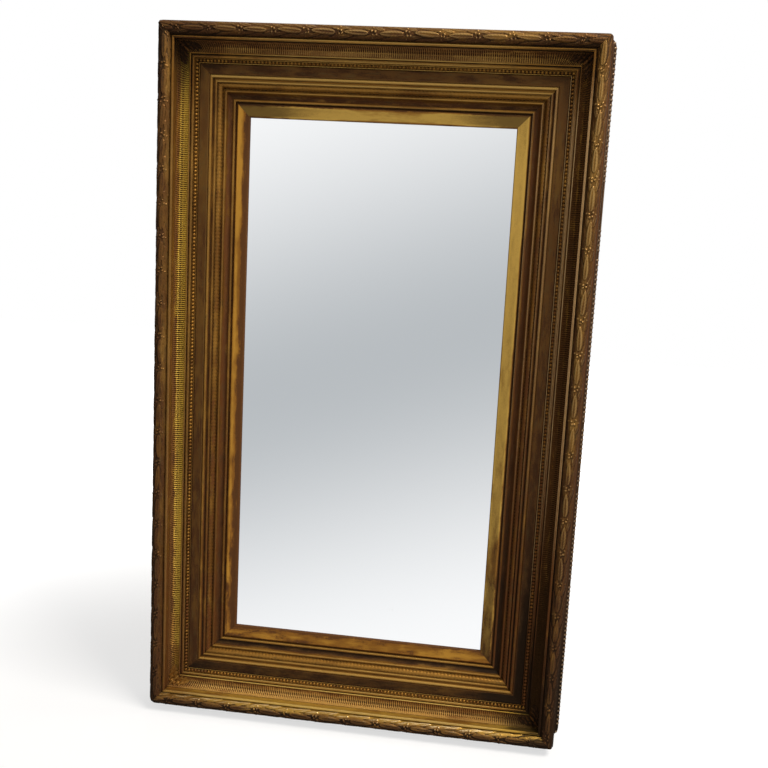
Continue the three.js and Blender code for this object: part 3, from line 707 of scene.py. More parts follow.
for side in SIDES:
    run = places_along(side, OUTER_MIDDLE)
    body = carried(side, run, outer_front, OUTER_MIDDLE, outer_kept * LASTED[side], outer_back,
                   grime_and_shade=outer_grime + on_wall * WALL_SHADE[side])
    fine_run, pitches = whole_pitches(side, FLUTE_MIDDLE, FLUTE_PITCH, FLUTE_STEPS)
    relief = flutes(pitches, flute_line)
    flute_leaf_and_light = np.interp(flute_line[:, 0], FLUTE_AT, FLUTE_LEAF_AND_LIGHT[side])
    band = carried(side, fine_run, flute_line, FLUTE_MIDDLE, flute_leaf_and_light, flute_back, 1, relief,
                   FLUTE_FULL[side], FLUTE_GRIME[side])
    finishes = [lit_rubbed_gilt if side == "bottom" else GILT[side],
                tan_flutes if side in ("top", "bottom") else flute_gilt]
    build(f"{side}_fluted_moulding", [body, band], finishes, [f"outer_moulding_{side}"])


# ---- Garland ----
# Composition pressed in moulds and bedded round the torus: long leaves along the crest, a row of them
# down each side, and berries where each group springs from the one before.

GARLAND_PITCH = 74.0
GARLAND_RADIUS = 13.4
GARLAND_STEP = 1.15
# Each leaf: where it springs and where its tip lies (along, round the torus from its crest), half
# its width and how far it stands up, in millimetres.
LEAVES = [
    ((10, -2.5), (63, -1.0), 6.4, 3.3),
    ((-15, -9.0), (33, -14.5), 4.6, 2.4),
    ((21, -10.5), (60, -17.0), 4.0, 2.1),
    ((-19, 8.0), (31, 13.5), 5.0, 2.4),
    ((19, 9.0), (61, 17.0), 4.5, 2.2),
    ((49, 4.5), (79, 9.5), 3.5, 2.9),
    ((47, -6.5), (78, -10.5), 3.3, 2.8),
    ((-7, 3.5), (21, 7.0), 2.7, 2.8),
    ((-5, -6.0), (20, -9.0), 2.5, 2.6),
    ((36, -17.5), (70, -20.5), 3.0, 1.5),
    ((-4, -17.0), (27, -20.5), 3.0, 1.5),
    ((40, 17.0), (74, 23.0), 3.5, 1.6),
    ((2, 17.0), (35, 22.5), 3.4, 1.6),
]
BERRIES = [(1.5, -5.0), (5.0, 3.2), (-3.0, 0.6), (3.0, -10.4), (0.0, 9.4), (-5.5, -4.4)]
BERRY_RADIUS = 2.4
BERRY_RISE = 3.2
HIGHEST = 3.5
VEIN_PITCH = 7.0


def leaf_relief(along, across, spring, tip, half, rise):
    """A pointed leaf: widest near its foot, crowned across, with a sunk midrib and slanting veins,
    lifting towards its tip. Its edge falls steeply to the ground."""
    reach = np.hypot(tip[0] - spring[0], tip[1] - spring[1])
    heading = ((tip[0] - spring[0]) / reach, (tip[1] - spring[1]) / reach)
    t = ((along - spring[0]) * heading[0] + (across - spring[1]) * heading[1]) / reach
    beside = (across - spring[1]) * heading[0] - (along - spring[0]) * heading[1]
    inside = np.clip(t, 0, 1)
    width = half * np.sin(np.pi * inside**0.7) ** 0.6
    q = beside / np.maximum(width, 0.05)
    crown = np.clip(1 - q**2, 0, 1) ** 0.35
    vein = 0.5 + 0.5 * np.cos(2 * np.pi * (t * reach / VEIN_PITCH - np.abs(q) * 1.3))
    body = rise * crown * (0.72 + 0.28 * inside) * (0.9 + 0.1 * vein)
    body = body - 0.34 * rise * np.exp(-((beside / 1.2) ** 2)) * crown
    return np.where((t > 0) & (t < 1) & (np.abs(q) < 1), body, 0.0)


def garland(run, across, seed):
    """The highest of all the leaves and berries that cross each point, over a rippled ground. The
    group is repeated along the run, and each time its leaves are shifted and sized a little apart."""
    along = run[:, None] * 1000
    across = across[None]
    group = np.floor(along / GARLAND_PITCH).astype(int)
    group = group - group.min() + 2
    hand = np.random.default_rng(seed)
    drift = hand.normal(0, 1, (group.max() + 3, len(LEAVES) + len(BERRIES), 4))
    height = 0.2 * np.sin(along / 2.1 + across * 0.9) * np.sin(across / 1.7 - along * 0.31) + 0.2
    for shift in (-1, 0, 1):
        local = along % GARLAND_PITCH - shift * GARLAND_PITCH
        for number, (spring, tip, half, rise) in enumerate(LEAVES):
            slip, tilt, wide, tall = np.moveaxis(drift[group + shift, number], -1, 0)
            leaf = leaf_relief(local - 1.8 * slip, across, spring, (tip[0], tip[1] + 1.2 * tilt),
                               half * (1 + 0.1 * wide), rise * (1 + 0.08 * tall))
            height = np.maximum(height, leaf)
        for number, (place, up) in enumerate(BERRIES):
            slip, tilt, wide, _ = np.moveaxis(drift[group + shift, len(LEAVES) + number], -1, 0)
            radius = BERRY_RADIUS * (1 + 0.12 * wide)
            near = (local - place - 0.7 * slip) ** 2 + (across - up - 0.6 * tilt) ** 2
            height = np.maximum(height, BERRY_RISE * np.sqrt(np.clip(1 - near / radius**2, 0, 1)))
    return np.minimum(height, HIGHEST) * MM


turn = np.radians(np.arange(169, -14.1, -np.degrees(GARLAND_STEP / GARLAND_RADIUS)))
torus_line = TORUS_OUT + GARLAND_RADIUS * np.cos(turn), TORUS_FRONT + GARLAND_RADIUS * np.sin(turn)
torus_line = np.stack(torus_line, axis=-1)
torus_across = (np.pi / 2 - turn) * GARLAND_RADIUS
torus_back = [(180.8, 66), (168, 70), (155.6, 72)]
garland_gilt = gilding("garland_gilt", (132, 96, 44), (98, 65, 30), (70, 42, 20), GRIME_AND_SHADE,
                       (184, 148, 90), shine=0.42, dirt_and_shade=0.8, rub=0.5, metal=0.5)
# A brighter and more rubbed copy of the garland's gilding for the bottom torus, whose upper side faces the
# light: the brightness is painted light.
lit_rubbed_garland = gilding("lit_rubbed_garland", (168, 130, 58), (120, 84, 38), (72, 45, 22),
                          GRIME_AND_SHADE, (220, 194, 146), shine=0.38, dirt_and_shade=0.9, rub=0.9, metal=0.5)
# Leaf left and grime laid on, at seven places round the torus from the fillet to the outer side.
# Both also paint light and shade: more leaf on the side of the torus that faces the light, and
# painted shade on the side that faces away from it, darkest under the bottom torus.
ROPE_AT = [-21, -13, -6, 0, 6, 14, 24]
ROPE_LEAF_AND_LIGHT = {
    "left": [0.45, 0.45, 0.4, 0.35, 0.2, 0.1, 0.1], "right": [0.3, 0.4, 0.7, 0.75, 0.5, 0.25, 0.15],
    "top": [0.2, 0.25, 0.35, 0.45, 0.45, 0.45, 0.35], "bottom": [1.0, 0.85, 0.45, 0.25, 0.2, 0.2, 0.2],
}
ROPE_GRIME_AND_SHADE = {
    "left": [0, 0.05, 0.2, 0.45, 0.7, 0.9, 1.0], "right": [0.3, 0.2, -0.1, -0.1, 0.1, 0.5, 0.5],
    "top": [0.5, 0.45, 0.2, 0, 0, 0, 0], "bottom": [-0.2, 0, 0.4, 0.8, 1.1, 1.3, 1.3],
}
# How deep a hollow has to be, in millimetres, to be full of grime and painted shade: less where the leaves
# are rubbed.
ROPE_FULL = {"left": 2.0, "right": 1.0, "top": 0.95, "bottom": 0.9}
for number, side in enumerate(SIDES):
    length = 2 * (SIDES[side][0] + TORUS_OUT * MM)
    pitch = length / round(length / (GARLAND_PITCH * MM))
    run = np.linspace(-length / 2, length / 2, round(length / (GARLAND_STEP * MM)) + 1)
    relief = garland((run + number * 0.031) * GARLAND_PITCH * MM / pitch, torus_across, number)
    rope_leaf_and_light = np.interp(torus_across, ROPE_AT, ROPE_LEAF_AND_LIGHT[side])
    rope_grime_and_shade = np.interp(torus_across, ROPE_AT, ROPE_GRIME_AND_SHADE[side])
    rope = carried(side, run, torus_line, TORUS_OUT, rope_leaf_and_light, torus_back, 0, relief,
                   ROPE_FULL[side], rope_grime_and_shade)
    rope_gilt = lit_rubbed_garland if side == "bottom" else garland_gilt
    build(f"{side}_garland", [rope], [rope_gilt], [f"outer_moulding_{side}"])


# ---- Edge strip ----
# A strip nailed round the back edge, with a course of large cast beads along it. A few beads have
# gone, and their seats show dark.

EDGE_MIDDLE = 185
EDGE_BEAD_RADIUS = 4.65
EDGE_BEAD_PITCH = 10.6
EDGE_BEAD_OUT = 195.3
EDGE_BEAD_FRONT = -11
LOST_SHARE = 0.03
LOST_RUN = {"right": (0.75, 0.81), "left": (0.3, 0.33), "top": (0.0, 0.0), "bottom": (0.6, 0.62)}
bead_gilt = gilding("bead_gilt", (112, 86, 54), (88, 60, 36), (62, 40, 24), GRIME_AND_SHADE,
                    (206, 180, 148), shine=0.42, rub=0.9, metal=0.3)
ridge_turn = np.radians(np.linspace(122, -122, 15))
ridge = np.stack([194.9 + 3.9 * np.cos(ridge_turn), -11 + 3.9 * np.sin(ridge_turn)], axis=-1)
edge_front = even_steps([
    (176, -0.4), (192.2, -0.4), (193.2, -1.4), ridge, (193.2, -33.0), (192.4, -33.6),
], 1.0)
edge_back = [(176, -34)]

for side in SIDES:
    ends = [SIDES[side][0] + rounding(side, np.array(way)) for way in (-1.0, 1.0)]
    arcs = [EDGE_BEAD_OUT * MM - (end - SIDES[side][0]) for end in ends]
    path = [end + arc * np.pi / 4 for end, arc in zip(ends, arcs)]
    count = round(sum(path) / (EDGE_BEAD_PITCH * MM))
    at = (np.arange(count) + 0.5) * sum(path) / count - path[0]
    straight, radius = np.where(at < 0, ends[0], ends[1]), np.where(at < 0, arcs[0], arcs[1])
    swing = np.clip((np.abs(at) - straight) / radius, 0, None)
    along = np.sign(at) * (np.minimum(np.abs(at), straight) + radius * np.sin(swing))
    out = straight - SIDES[side][0] + radius * np.cos(swing)
    share = np.arange(count) / count
    lost = (share > LOST_RUN[side][0]) & (share < LOST_RUN[side][1])
    there = (rng.random(count) > LOST_SHARE) & ~lost
    centres = lay_on_side(side, along, out, EDGE_BEAD_FRONT * MM)[there]
    lay = np.stack([along, out], axis=-1)[there]
    beads = balls(centres, EDGE_BEAD_RADIUS * MM * rng.uniform(0.93, 1.0, len(lay)), lay,
                  kept=rng.uniform(0.3, 0.7, (len(lay), 1)))
    run = places_along(side, EDGE_MIDDLE, 20)
    # The whole strip is darkened, as grime and as painted shade between the beads.
    strip = carried(side, run, edge_front, EDGE_MIDDLE, 0.3, edge_back, grime_and_shade=0.55)
    build(f"{side}_edge_strip", [strip, beads], [bead_gilt], [f"edge_strip_{side}"])


# ---- Corner leaves ----
# A cast leaf covers each mitre of the fluted floor: a stout rib up the corner, and an arm along each
# side that waves into lobes.

LEAF_REACH = 38 * MM
LEAF_LOBES = 3.4
LEAF_SINK = 0.9 * MM
# The middle and half width of a leaf across the floor, in millimetres from the floor's inner edge.
LEAF_ACROSS = 14.6
LEAF_HALF = 13.2
# The two sides that each leaf lies between, and the soot and painted shade on it; at the lower left,
# which faces the light, it is negative and paints the leaf lighter.
CORNERS = {
    "lower_right": ("bottom", "right", 0.8), "upper_right": ("right", "top", 0.7),
    "upper_left": ("top", "left", 0.9), "lower_left": ("left", "bottom", -0.3),
}
flute_travel = travel(flute_line)


def leaf_height(t, v):
    """Height of the leaf above the floor: a crowned arm that falls away from the corner, waves into
    lobes with sunk veins between them, and a rounded rib on the mitre itself."""
    far = np.abs(t)
    arm = (1 - v**2) ** 0.5 * (1 - far) ** 0.5
    lobes = 0.5 + 0.5 * np.cos(2 * np.pi * (far * LEAF_LOBES - np.abs(v) * 0.55))
    midrib = np.exp(-((v / 0.16) ** 2))
    rib = np.exp(-((far / 0.1) ** 2)) * (1 - np.clip(v, -1, 1) ** 4)
    height = 3.0 * arm * (0.55 + 0.45 * lobes) - 0.9 * midrib * (1 - far) + 2.6 * rib
    return np.clip(height, 0.25, 9.5) * MM


def rim_of(index):
    """The point numbers round the edge of a grid."""
    return np.concatenate([index[0, :-1], index[:-1, -1], index[-1, :0:-1], index[:0:-1, 0]])


for corner, (first, second, leaf_soot_and_shade) in CORNERS.items():
    t = np.linspace(-1, 1, 81)[:, None]
    v = np.linspace(-1, 1, 29)[None]
    far = np.abs(t)
    outline = (1 - far**3) ** 0.5 * (0.8 + 0.2 * np.cos(2 * np.pi * far * LEAF_LOBES)) + 0.02
    spot = LEAF_ACROSS + v * LEAF_HALF * outline
    out = np.interp(spot, flute_travel, flute_line[:, 0]) * MM
    front = np.interp(spot, flute_travel, flute_line[:, 1]) * MM
    slope = np.gradient(flute_line, axis=0)
    slope /= np.linalg.norm(slope, axis=-1, keepdims=True)
    lean_out = -np.interp(spot, flute_travel, slope[:, 1])
    lean_front = np.interp(spot, flute_travel, slope[:, 0])
    lift = leaf_height(t, v)
    layers = []
    for raised in (lift, np.full_like(lift, -LEAF_SINK)):
        layer_out, layer_front = out + lean_out * raised, front + lean_front * raised
        reach_in = far * LEAF_REACH
        first_half = lay_on_side(first, SIDES[first][0] + layer_out - reach_in, layer_out, layer_front)
        second_half = lay_on_side(second, -(SIDES[second][0] + layer_out - reach_in), layer_out, layer_front)
        layers.append(np.where(t[..., None] < 0, first_half, second_half))
    top, under = layers
    count, width = lift.shape
    index = np.arange(count * width).reshape(count, width)
    below = index + count * width
    rim = rim_of(index)[::-1]
    faces = [quads(index), quads(below)[:, ::-1], quads(np.stack([rim, rim + count * width]), False, True)]
    points = np.stack([top, under])
    lay = np.stack(np.broadcast_arrays(t * LEAF_REACH, spot * MM), axis=-1)
    proud = standing_of(top, both_ways=True, scale=1.1 * MM) - leaf_soot_and_shade
    standing = np.stack([proud, np.full(lift.shape, -1.0)])
    leaf = shell(points, faces, 0, np.stack([lay, lay]), standing, 0.55 / (1 + leaf_soot_and_shade))
    build(f"{corner}_leaf", [leaf], [aged_gilt], [f"corner_leaf_{corner}"])


# ---- Gilt slip ----
# A bevelled softwood slip, water gilt and burnished, that frames the plate. The leaf is bright on the
# outer half, and rubbed through to bole and gesso along the side next to the plate.

burnished = gilding("burnished_gilt", (196, 156, 74), (142, 98, 40), (78, 47, 23),
                    (50, 34, 18), (200, 164, 92), shine=0.3, dirt_and_shade=0.7, rub=0.2, metal=0.65,
                    film=0.12)
warm_burnished = gilding("warm_burnished", (190, 136, 52), (138, 90, 34), (80, 48, 22),
                         (50, 34, 18), (202, 160, 84), shine=0.3, dirt_and_shade=0.7, rub=0.2,
                         metal=0.65, film=0.12)
SLIP_MIDDLE = 15
slip_front = even_steps([
    (0, -4), (0, -1.75), quad_curve((0, -1.75), (0, 0), (3.5, 0.88)), (23.6, 5),
    quad_curve((23.6, 5), (27.6, 5), (28.6, 2.5)), (28.6, 0.2), (40.1, 0.2),
])
slip_back = [(40.1, -9.3), (6.3, -9.3), (6.3, -4)]
# Where the leaf has gone, from the plate outwards, on each side's own slip.
SLIP_WEAR_AT = [0, 2.5, 4, 11, 15, 22, 25.5, 28, 30]
SLIP_KEPT = {
    "left": [0.0, 0.05, 0.1, 0.2, 0.45, 0.7, 0.62, 0.4, 0.2],
    "right": [0.7, 0.9, 1.0, 1.0, 1.0, 1.0, 0.8, 0.25, 0.1],
    "top": [0.4, 0.6, 0.95, 1.0, 1.0, 0.85, 0.35, 0.15, 0.1],
    "bottom": [0.15, 0.25, 0.4, 0.5, 0.55, 0.5, 0.5, 0.4, 0.2],
}
SLIP_GRIME = {
    "left": [0.5, 0.35, 0.3, 0.25, 0, 0, 0, 0.2, 0.4],
    "right": [0.3, 0.3, 0.3, 0.3, 0.3, 0.3, 0.35, 0.5, 0.6],
    "top": [0, 0, 0, 0, 0, 0.1, 0.3, 0.4, 0.4],
    "bottom": [0.5, 0.3, 0, 0, 0, 0, 0, 0, 0.2],
}
# Dirt that thickens towards the two mitres of each slip.
SLIP_ENDS = {"left": (0.0, 0.0), "right": (0.0, 0.0), "top": (0.75, 0.85), "bottom": (0.0, 0.0)}
for side in SIDES:
    run = places_along(side, SLIP_MIDDLE)
    nearness = np.clip(1.5 * np.abs(run) / SIDES[side][0] - 0.4, 0, 1)
    at_ends = (nearness * np.where(run < 0, *SLIP_ENDS[side]))[:, None]
    slip_kept = np.interp(slip_front[:, 0], SLIP_WEAR_AT, SLIP_KEPT[side])
    slip_grime = np.interp(slip_front[:, 0], SLIP_WEAR_AT, SLIP_GRIME[side])
    slip = carried(side, run, slip_front, SLIP_MIDDLE, slip_kept, slip_back, grime_and_shade=slip_grime + at_ends)
    leaf = warm_burnished if side in ("left", "bottom") else burnished
    build(f"{side}_slip", [slip], [leaf], [f"gilt_slip_{side}"])


# ---- Silvered plate ----
# Plate glass silvered on the back: clear over nearly all of its face, greyed a little in faint spots,
# and covered behind with brown backing paint.


def silvering():
    """Bright silvering on faces that look forwards, greyed by faint mottling, and matt brown paint on
    the rest."""
    look = Look("silvered_glass")
    place = look.place()
    facing = look.node("SeparateXYZ", {0: look.node("NewGeometry")["Normal"]})[1]
    behind = look.step_up(facing, -0.9, -0.5)
    spots = look.step_up(look.mottle(place, 30.0, 6.0, 0.7), 0.68, 0.8, 0.12)
    silver = look.between(spots, (250, 251, 252), (170, 168, 160))
    brushed = look.mottle(look.stretched(place, (60.0, 1.0, 4.0)), 1.0, 4.0)
    paint = look.between(brushed, (94, 58, 42), (66, 42, 32))
    return look.close(look.mixed(behind, look.skin(silver, 0.012, 1.0), look.skin(paint, 0.75)))


give("silvered_plate", silvering())


# ---- Backboards and glazing blocks ----
# Three thin sawn boards close the back, over small softwood blocks glued behind the plate's edge.

for number in (1, 2, 3):
    board_pine = pine(f"pine_board_{number}", 0, (166, 132, 90), (128, 92, 56),
                      (104, 86, 64), number * 1.7)
    give(f"backboard_{number}", board_pine)
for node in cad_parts:
    if node.startswith("glazing_block"):
        give(node, cross_pine)


# ---- Screws ----
# Countersunk screws, dull with light rust in fine patches; those of the hangers are brass.


def old_metal(name, bare, stained, rough):
    """Worn metal: two tones in fine patches, duller where it is stained, with faint scratches."""
    look = Look(name)
    place = look.place()
    scratches = look.mottle(look.stretched(place, (300.0, 300.0, 2600.0)), 1.0, 2.0)
    stain = look.step_up(look.mottle(place, 160.0, 6.0, 0.7), 0.42, 0.62)
    bump = look.bumped(scratches, 0.3, 0.0002)
    metallic = look.times(stain, -0.5, 1.0)
    return look.close(look.skin(look.between(stain, bare, stained), look.times(stain, 0.25, rough), metallic,
                                bump=bump))


steel = old_metal("dull_steel", (150, 142, 132), (104, 72, 52), 0.42)
brass = old_metal("tarnished_brass", (204, 166, 96), (128, 98, 58), 0.3)
# The head's crown, and half the slot's width, its depth and its slopes, as shares of the radius.
HEAD_CROWN = 0.22
SLOT_HALF = 0.2
SLOT_DEPTH = 0.45
SLOT_SLOPE = 0.06
SLOT_END = 0.1
HEAD_CUTS = np.array([-1, -0.9, -0.7, -0.45, -0.2, -0.14, 0.14, 0.2, 0.45, 0.7, 0.9, 1])


def slotted_screw(low, high, turned_by):
    """A screw that faces the back: a square grid pressed into a disc, x = u sqrt(1 - v^2 / 2) and
    z = v sqrt(1 - u^2 / 2), crowned and cut with a slot, over rings that draw in to the shank."""
    radius = (high.x - low.x) / 2
    u, v = np.meshgrid(HEAD_CUTS, HEAD_CUTS)
    x, z = u * np.sqrt(1 - v**2 / 2), v * np.sqrt(1 - u**2 / 2)
    from_axis = np.hypot(x, z)
    slot = np.clip((SLOT_HALF - np.abs(z)) / SLOT_SLOPE, 0, 1) * np.clip((1 - from_axis) / SLOT_END, 0, 1)
    rise = HEAD_CROWN * (1 - from_axis**2) - SLOT_DEPTH * slot
    index = np.arange(x.size).reshape(x.shape)
    rim = rim_of(index)
    spot = ((x + 1j * z) * np.exp(1j * turned_by) * radius).ravel()
    layers = [np.stack([spot.real, high.y + rise.ravel() * radius, spot.imag], axis=-1)]
    head_foot, point = high.y - 0.6 * radius, low.y + 0.8 * radius
    rings = [(1.0, high.y - 0.05 * radius), (0.48, head_foot), (0.48, point), (0.06, low.y)]
    for share, level in rings:
        ring = spot[rim] * share
        layers.append(np.stack([ring.real, np.full(len(rim), level), ring.imag], axis=-1))
    points = np.concatenate(layers) + ((low.x + high.x) / 2, 0, (low.z + high.z) / 2)
    loops = np.stack([rim] + [x.size + k * len(rim) + np.arange(len(rim)) for k in range(len(rings))])
    faces = [quads(index.T), quads(loops, round_across=True), loops[-1:]]
    return shell(points, faces, 0, points[:, [0, 2]], 0.0, 0.0)


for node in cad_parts:
    if "screw" in node:
        head = slotted_screw(*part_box(node), rng.uniform(0, np.pi))
        metal, slot = (brass, "brass") if node.startswith("hanger") else (steel, "steel")
        build(f"{node}_slotted", [head], [metal], [node], sharp=35)


# ---- Hangers ----
# Brass strap hangers screwed to the uprights: a strip of sheet rolled into an eye at its upper end,
# with its foot cut round, and a D ring of drawn wire that swings in the eye.

SHEET = 1.5 * MM
EYE_PLAY = 0.3 * MM
STRAP_BEND = 9 * MM
STRAP_BEVEL = 0.35
RING_CORNER = 3.2 * MM
RING_STEPS = 112
WIRE_STEPS = 18


def bare_shell(points, faces):
    """A closed skin of bare metal. Its faces stay as they are, or are all turned over if they enclose
    a negative volume: the sum over their triangles of one corner dotted with the cross of the others."""
    points = points.reshape(-1, 3)
    centred = points - points.mean(axis=0)
    volume = 0.0
    for part in faces:
        for k in range(1, part.shape[1] - 1):
            first, second, third = centred[part[:, 0]], centred[part[:, k]], centred[part[:, k + 1]]
            volume += (first * np.cross(second, third)).sum()
    if volume < 0:
        faces = [part[:, ::-1] for part in faces]
    return shell(points, faces, 0, points[:, [0, 2]], 0.0, 0.0)


def rolled_strap(low, high, eye_y, eye_z, wire):
    """A strip with two faces a sheet's thickness apart: straight up the board, then round the eye on
    two circles. Its width closes in on a half circle at the foot, and both edges are bevelled."""
    half = (high.x - low.x) / 2
    turn = np.radians(np.linspace(180, -150, 34))
    foot = low.z + half * (1 - np.cos(np.linspace(0, np.pi / 2, 9)))
    rise = np.concatenate([foot, np.linspace(low.z + half, eye_z - STRAP_BEND, 5)[1:]])
    inner = wire + EYE_PLAY
    lines = []
    for y, radius in ((low.y, inner + SHEET), (low.y + SHEET, inner)):
        straight = np.stack([np.full(len(rise), y), rise], axis=-1)
        eye = np.stack([eye_y + radius * np.cos(turn), eye_z + radius * np.sin(turn)], axis=-1)
        lines.append(np.concatenate([straight, eye]))
    below = np.clip(1 - (rise - low.z) / half, 0, 1)
    width = np.pad(half * np.maximum(np.sqrt(1 - below**2), 0.04), (0, len(turn)), constant_values=half)
    across = np.array([-1, -0.94, 0.94, 1])
    bevel = np.array([STRAP_BEVEL, 0, 0, STRAP_BEVEL])[None, :, None]
    middle = (lines[0] + lines[1]) / 2
    skins = [line[:, None] + (middle - line)[:, None] * bevel for line in lines]
    loop = np.concatenate([skins[0], skins[1][::-1]])
    widths = np.concatenate([width, width[::-1]])
    x = (low.x + high.x) / 2 + widths[:, None] * across
    points = np.stack([x, loop[..., 0], loop[..., 1]], axis=-1)
    index = np.arange(points.shape[0] * 4).reshape(-1, 4)
    faces = [quads(index.T, round_across=True)]
    count = len(width)
    for column, way in ((0, 1), (3, -1)):
        wall, seen = index[:count, column], index[::-1][:count, column]
        faces.append(np.stack([wall[1:], wall[:-1], seen[:-1], seen[1:]], axis=-1)[:, ::way])
    return bare_shell(points, faces)


def wire_ring(low, high):
    """A round wire carried along a closed D: a half circle below, and a bar above whose two corners
    are turned on small circles."""
    wire = (high.y - low.y) / 2
    half = (high.x - low.x) / 2 - wire
    drop = high.z - low.z - 2 * wire - half
    bow, left, right = (np.radians(np.linspace(*ends)) for ends in ((0, -180, 33), (180, 90, 9), (90, 0, 9)))
    corner = half - RING_CORNER
    path = np.concatenate([
        half * np.exp(1j * bow) - 1j * drop,
        RING_CORNER * (np.exp(1j * left) - 1j) - corner,
        RING_CORNER * (np.exp(1j * right) - 1j) + corner,
    ])
    ends = np.append(path, path[0])
    travelled = np.concatenate([[0], np.abs(np.diff(ends)).cumsum()])
    path = np.interp(np.linspace(0, travelled[-1], RING_STEPS + 1)[:-1], travelled, ends)
    heading = np.roll(path, -1) - np.roll(path, 1)
    side_way = 1j * heading / np.abs(heading)
    around = np.linspace(0, 2 * np.pi, WIRE_STEPS, endpoint=False)[None]
    skin = path[:, None] + side_way[:, None] * wire * np.cos(around)
    y = np.broadcast_to((low.y + high.y) / 2 + wire * np.sin(around), skin.shape)
    points = np.stack([(low.x + high.x) / 2 + skin.real, y, high.z - wire + skin.imag], axis=-1)
    index = np.arange(skin.size).reshape(skin.shape)
    return bare_shell(points, [quads(index.T, True, True)])


for side in ("left", "right"):
    ring_low, ring_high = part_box(f"hanger_ring_{side}")
    wire_radius = (ring_high.y - ring_low.y) / 2
    strap = rolled_strap(*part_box(f"strap_hanger_{side}"), (ring_low.y + ring_high.y) / 2,
                         ring_high.z - wire_radius, wire_radius)
    build(f"{side}_strap", [strap], [brass], [f"strap_hanger_{side}"], sharp=40)
    build(f"{side}_ring", [wire_ring(ring_low, ring_high)], [brass], [f"hanger_ring_{side}"],
          body=f"{side}_ring")


# ---- Floor, light and camera ----
# A pale floor, one large soft light from the upper right, a weak even fill, and the camera where the
# photographer stood. What is behind the viewer shows in the plate as white with a pale grey band.

FLOOR_HALF = 9.0
WHITE = (1.0, 1.0, 1.0, 1.0)


def floor_finish():
    """Matt pale grey to everything but the camera, which sees it nearly white with its shadow kept and
    fading to plain white away from the mirror."""
    look = Look("studio_floor")
    away = look.node("VectorMath", {0: look.place()}, operation="LENGTH")["Value"]
    strength = look.plus(0.66, look.step_up(away, 0.7, 2.2, 0.5))
    shade = look.node("BsdfDiffuse", {"Color": (0.45, 0.44, 0.43, 1.0)})[0]
    lit = look.node("BsdfDiffuse", {"Color": (0.34, 0.34, 0.34, 1.0)})[0]
    glow = look.node("Emission", {"Color": WHITE, "Strength": strength})[0]
    seen = look.node("AddShader", {0: lit, 1: glow})[0]
    return look.close(look.mixed(look.node("LightPath")["Is Camera Ray"], shade, seen))


floor_mesh = bpy.data.meshes.new("studio_floor")
ends = np.array([[-1, -1, 0], [1, -1, 0], [1, 1, 0], [-1, 1, 0]]) * FLOOR_HALF
floor_mesh.from_pydata(ends.tolist(), [], [(0, 1, 2, 3)])
floor_mesh.materials.append(floor_finish())
floor = bpy.data.objects.new("studio_floor", floor_mesh)
bpy.context.scene.collection.objects.link(floor)
floor.visible_glossy = False

# The band in the plate lies that far below the horizon and slants that much. ROOM_FACES points to the
# part of the room that lights the gilding.
BAND_HEIGHT = -0.058
BAND_SLANT = 0.35
ROOM_FACES = (0.36, -0.92, 0.15)
sky = Look("studio", bpy.data.worlds)
ray = sky.node("LightPath")
heading = sky.node("TexCoord")["Generated"]
rightward, backward, upward = sky.node("SeparateXYZ", {0: heading})
forward = sky.times(backward, -1.0)
ahead = sky.maths("MAXIMUM", forward, 0.05)
slope = sky.maths("DIVIDE", upward, ahead)
slant = sky.maths("DIVIDE", rightward, ahead)
band = sky.less(sky.times(slant, -BAND_SLANT, slope), BAND_HEIGHT)
clear = sky.step_up(sky.maths("ABSOLUTE", band), 0.0, 0.42)
mirrored = sky.between(clear, (188, 192, 195), (255, 255, 255))
above = sky.step_up(upward, 0.1, 0.9, 0.5)
to_right = sky.step_up(rightward, 0.0, 0.9, 0.3)
behind = sky.step_up(backward, 0.3, 0.8, 0.3)
around = sky.plus(sky.plus(above, to_right), sky.plus(behind, 0.08))
dim = sky.node("CombineXYZ", {0: around, 1: around, 2: around})[0]
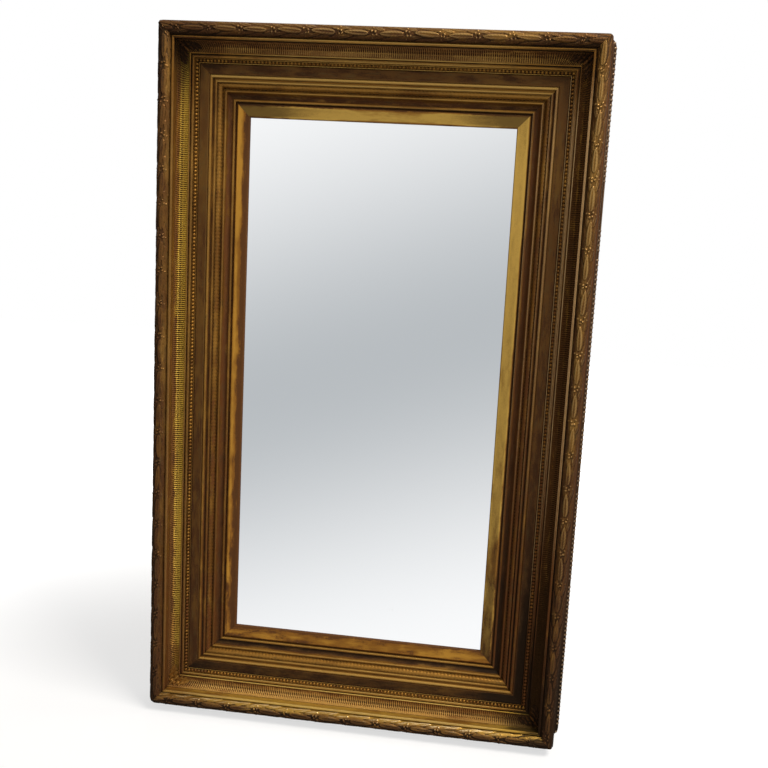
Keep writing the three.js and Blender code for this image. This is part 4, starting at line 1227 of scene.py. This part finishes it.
in_metal = sky.between(sky.step_up(forward, 0.45, 0.8), dim, mirrored)
faced = sky.node("VectorMath", {0: heading, 1: ROOM_FACES}, operation="DOT_PRODUCT")["Value"]
room = sky.step_up(faced, 0.4, 0.95, 0.7)
strength = sky.plus(room, sky.plus(sky.step_up(backward, 0.1, 0.9, 0.85), 0.07))
fill = sky.node("Background", {"Color": (1.0, 0.97, 0.93, 1.0), "Strength": strength})[0]
reflected = sky.node("Background", {"Color": in_metal, "Strength": 1.0})[0]
bright = sky.node("Background", {"Color": WHITE, "Strength": 1.0})[0]
metal_ray = sky.maths("MAXIMUM", ray["Is Glossy Ray"], ray["Is Transmission Ray"])
lit = sky.mixed(metal_ray, fill, reflected)
sky.node("OutputWorld", {0: sky.mixed(ray["Is Camera Ray"], lit, bright)})
bpy.context.scene.world = sky.owner

key_data = bpy.data.lights.new("softbox", "AREA")
key_data.shape = "SQUARE"
key_data.size = 2.2
key_data.energy = 300
key_data.color = (1.0, 0.96, 0.9)
key = bpy.data.objects.new("softbox", key_data)
key.location = (2.5, -1.5, 4.85)
aim = np.array([0.0, 0.0, 0.8]) - np.array(key.location)
key.rotation_euler = (np.arccos(-aim[2] / np.linalg.norm(aim)), 0, np.arctan2(aim[1], aim[0]) - np.pi / 2)
bpy.context.scene.collection.objects.link(key)

FRAME_PIXELS = 768
FOCAL_PIXELS = 827.64
CENTRE_PIXELS = (433.95, 381.73)
camera_data = bpy.data.cameras.new("viewpoint")
camera_data.sensor_width = 36
camera_data.lens = FOCAL_PIXELS / FRAME_PIXELS * camera_data.sensor_width
camera_data.shift_x = 0.5 - CENTRE_PIXELS[0] / FRAME_PIXELS
camera_data.shift_y = CENTRE_PIXELS[1] / FRAME_PIXELS - 0.5
camera = bpy.data.objects.new("viewpoint", camera_data)
camera.location = (0.3441, -1.8351, 1.0982)
camera.rotation_euler = np.radians((81.997, -3.412, 6.4))
bpy.context.scene.collection.objects.link(camera)
bpy.context.scene.camera = camera
bpy.context.scene.view_settings.view_transform = "Standard"
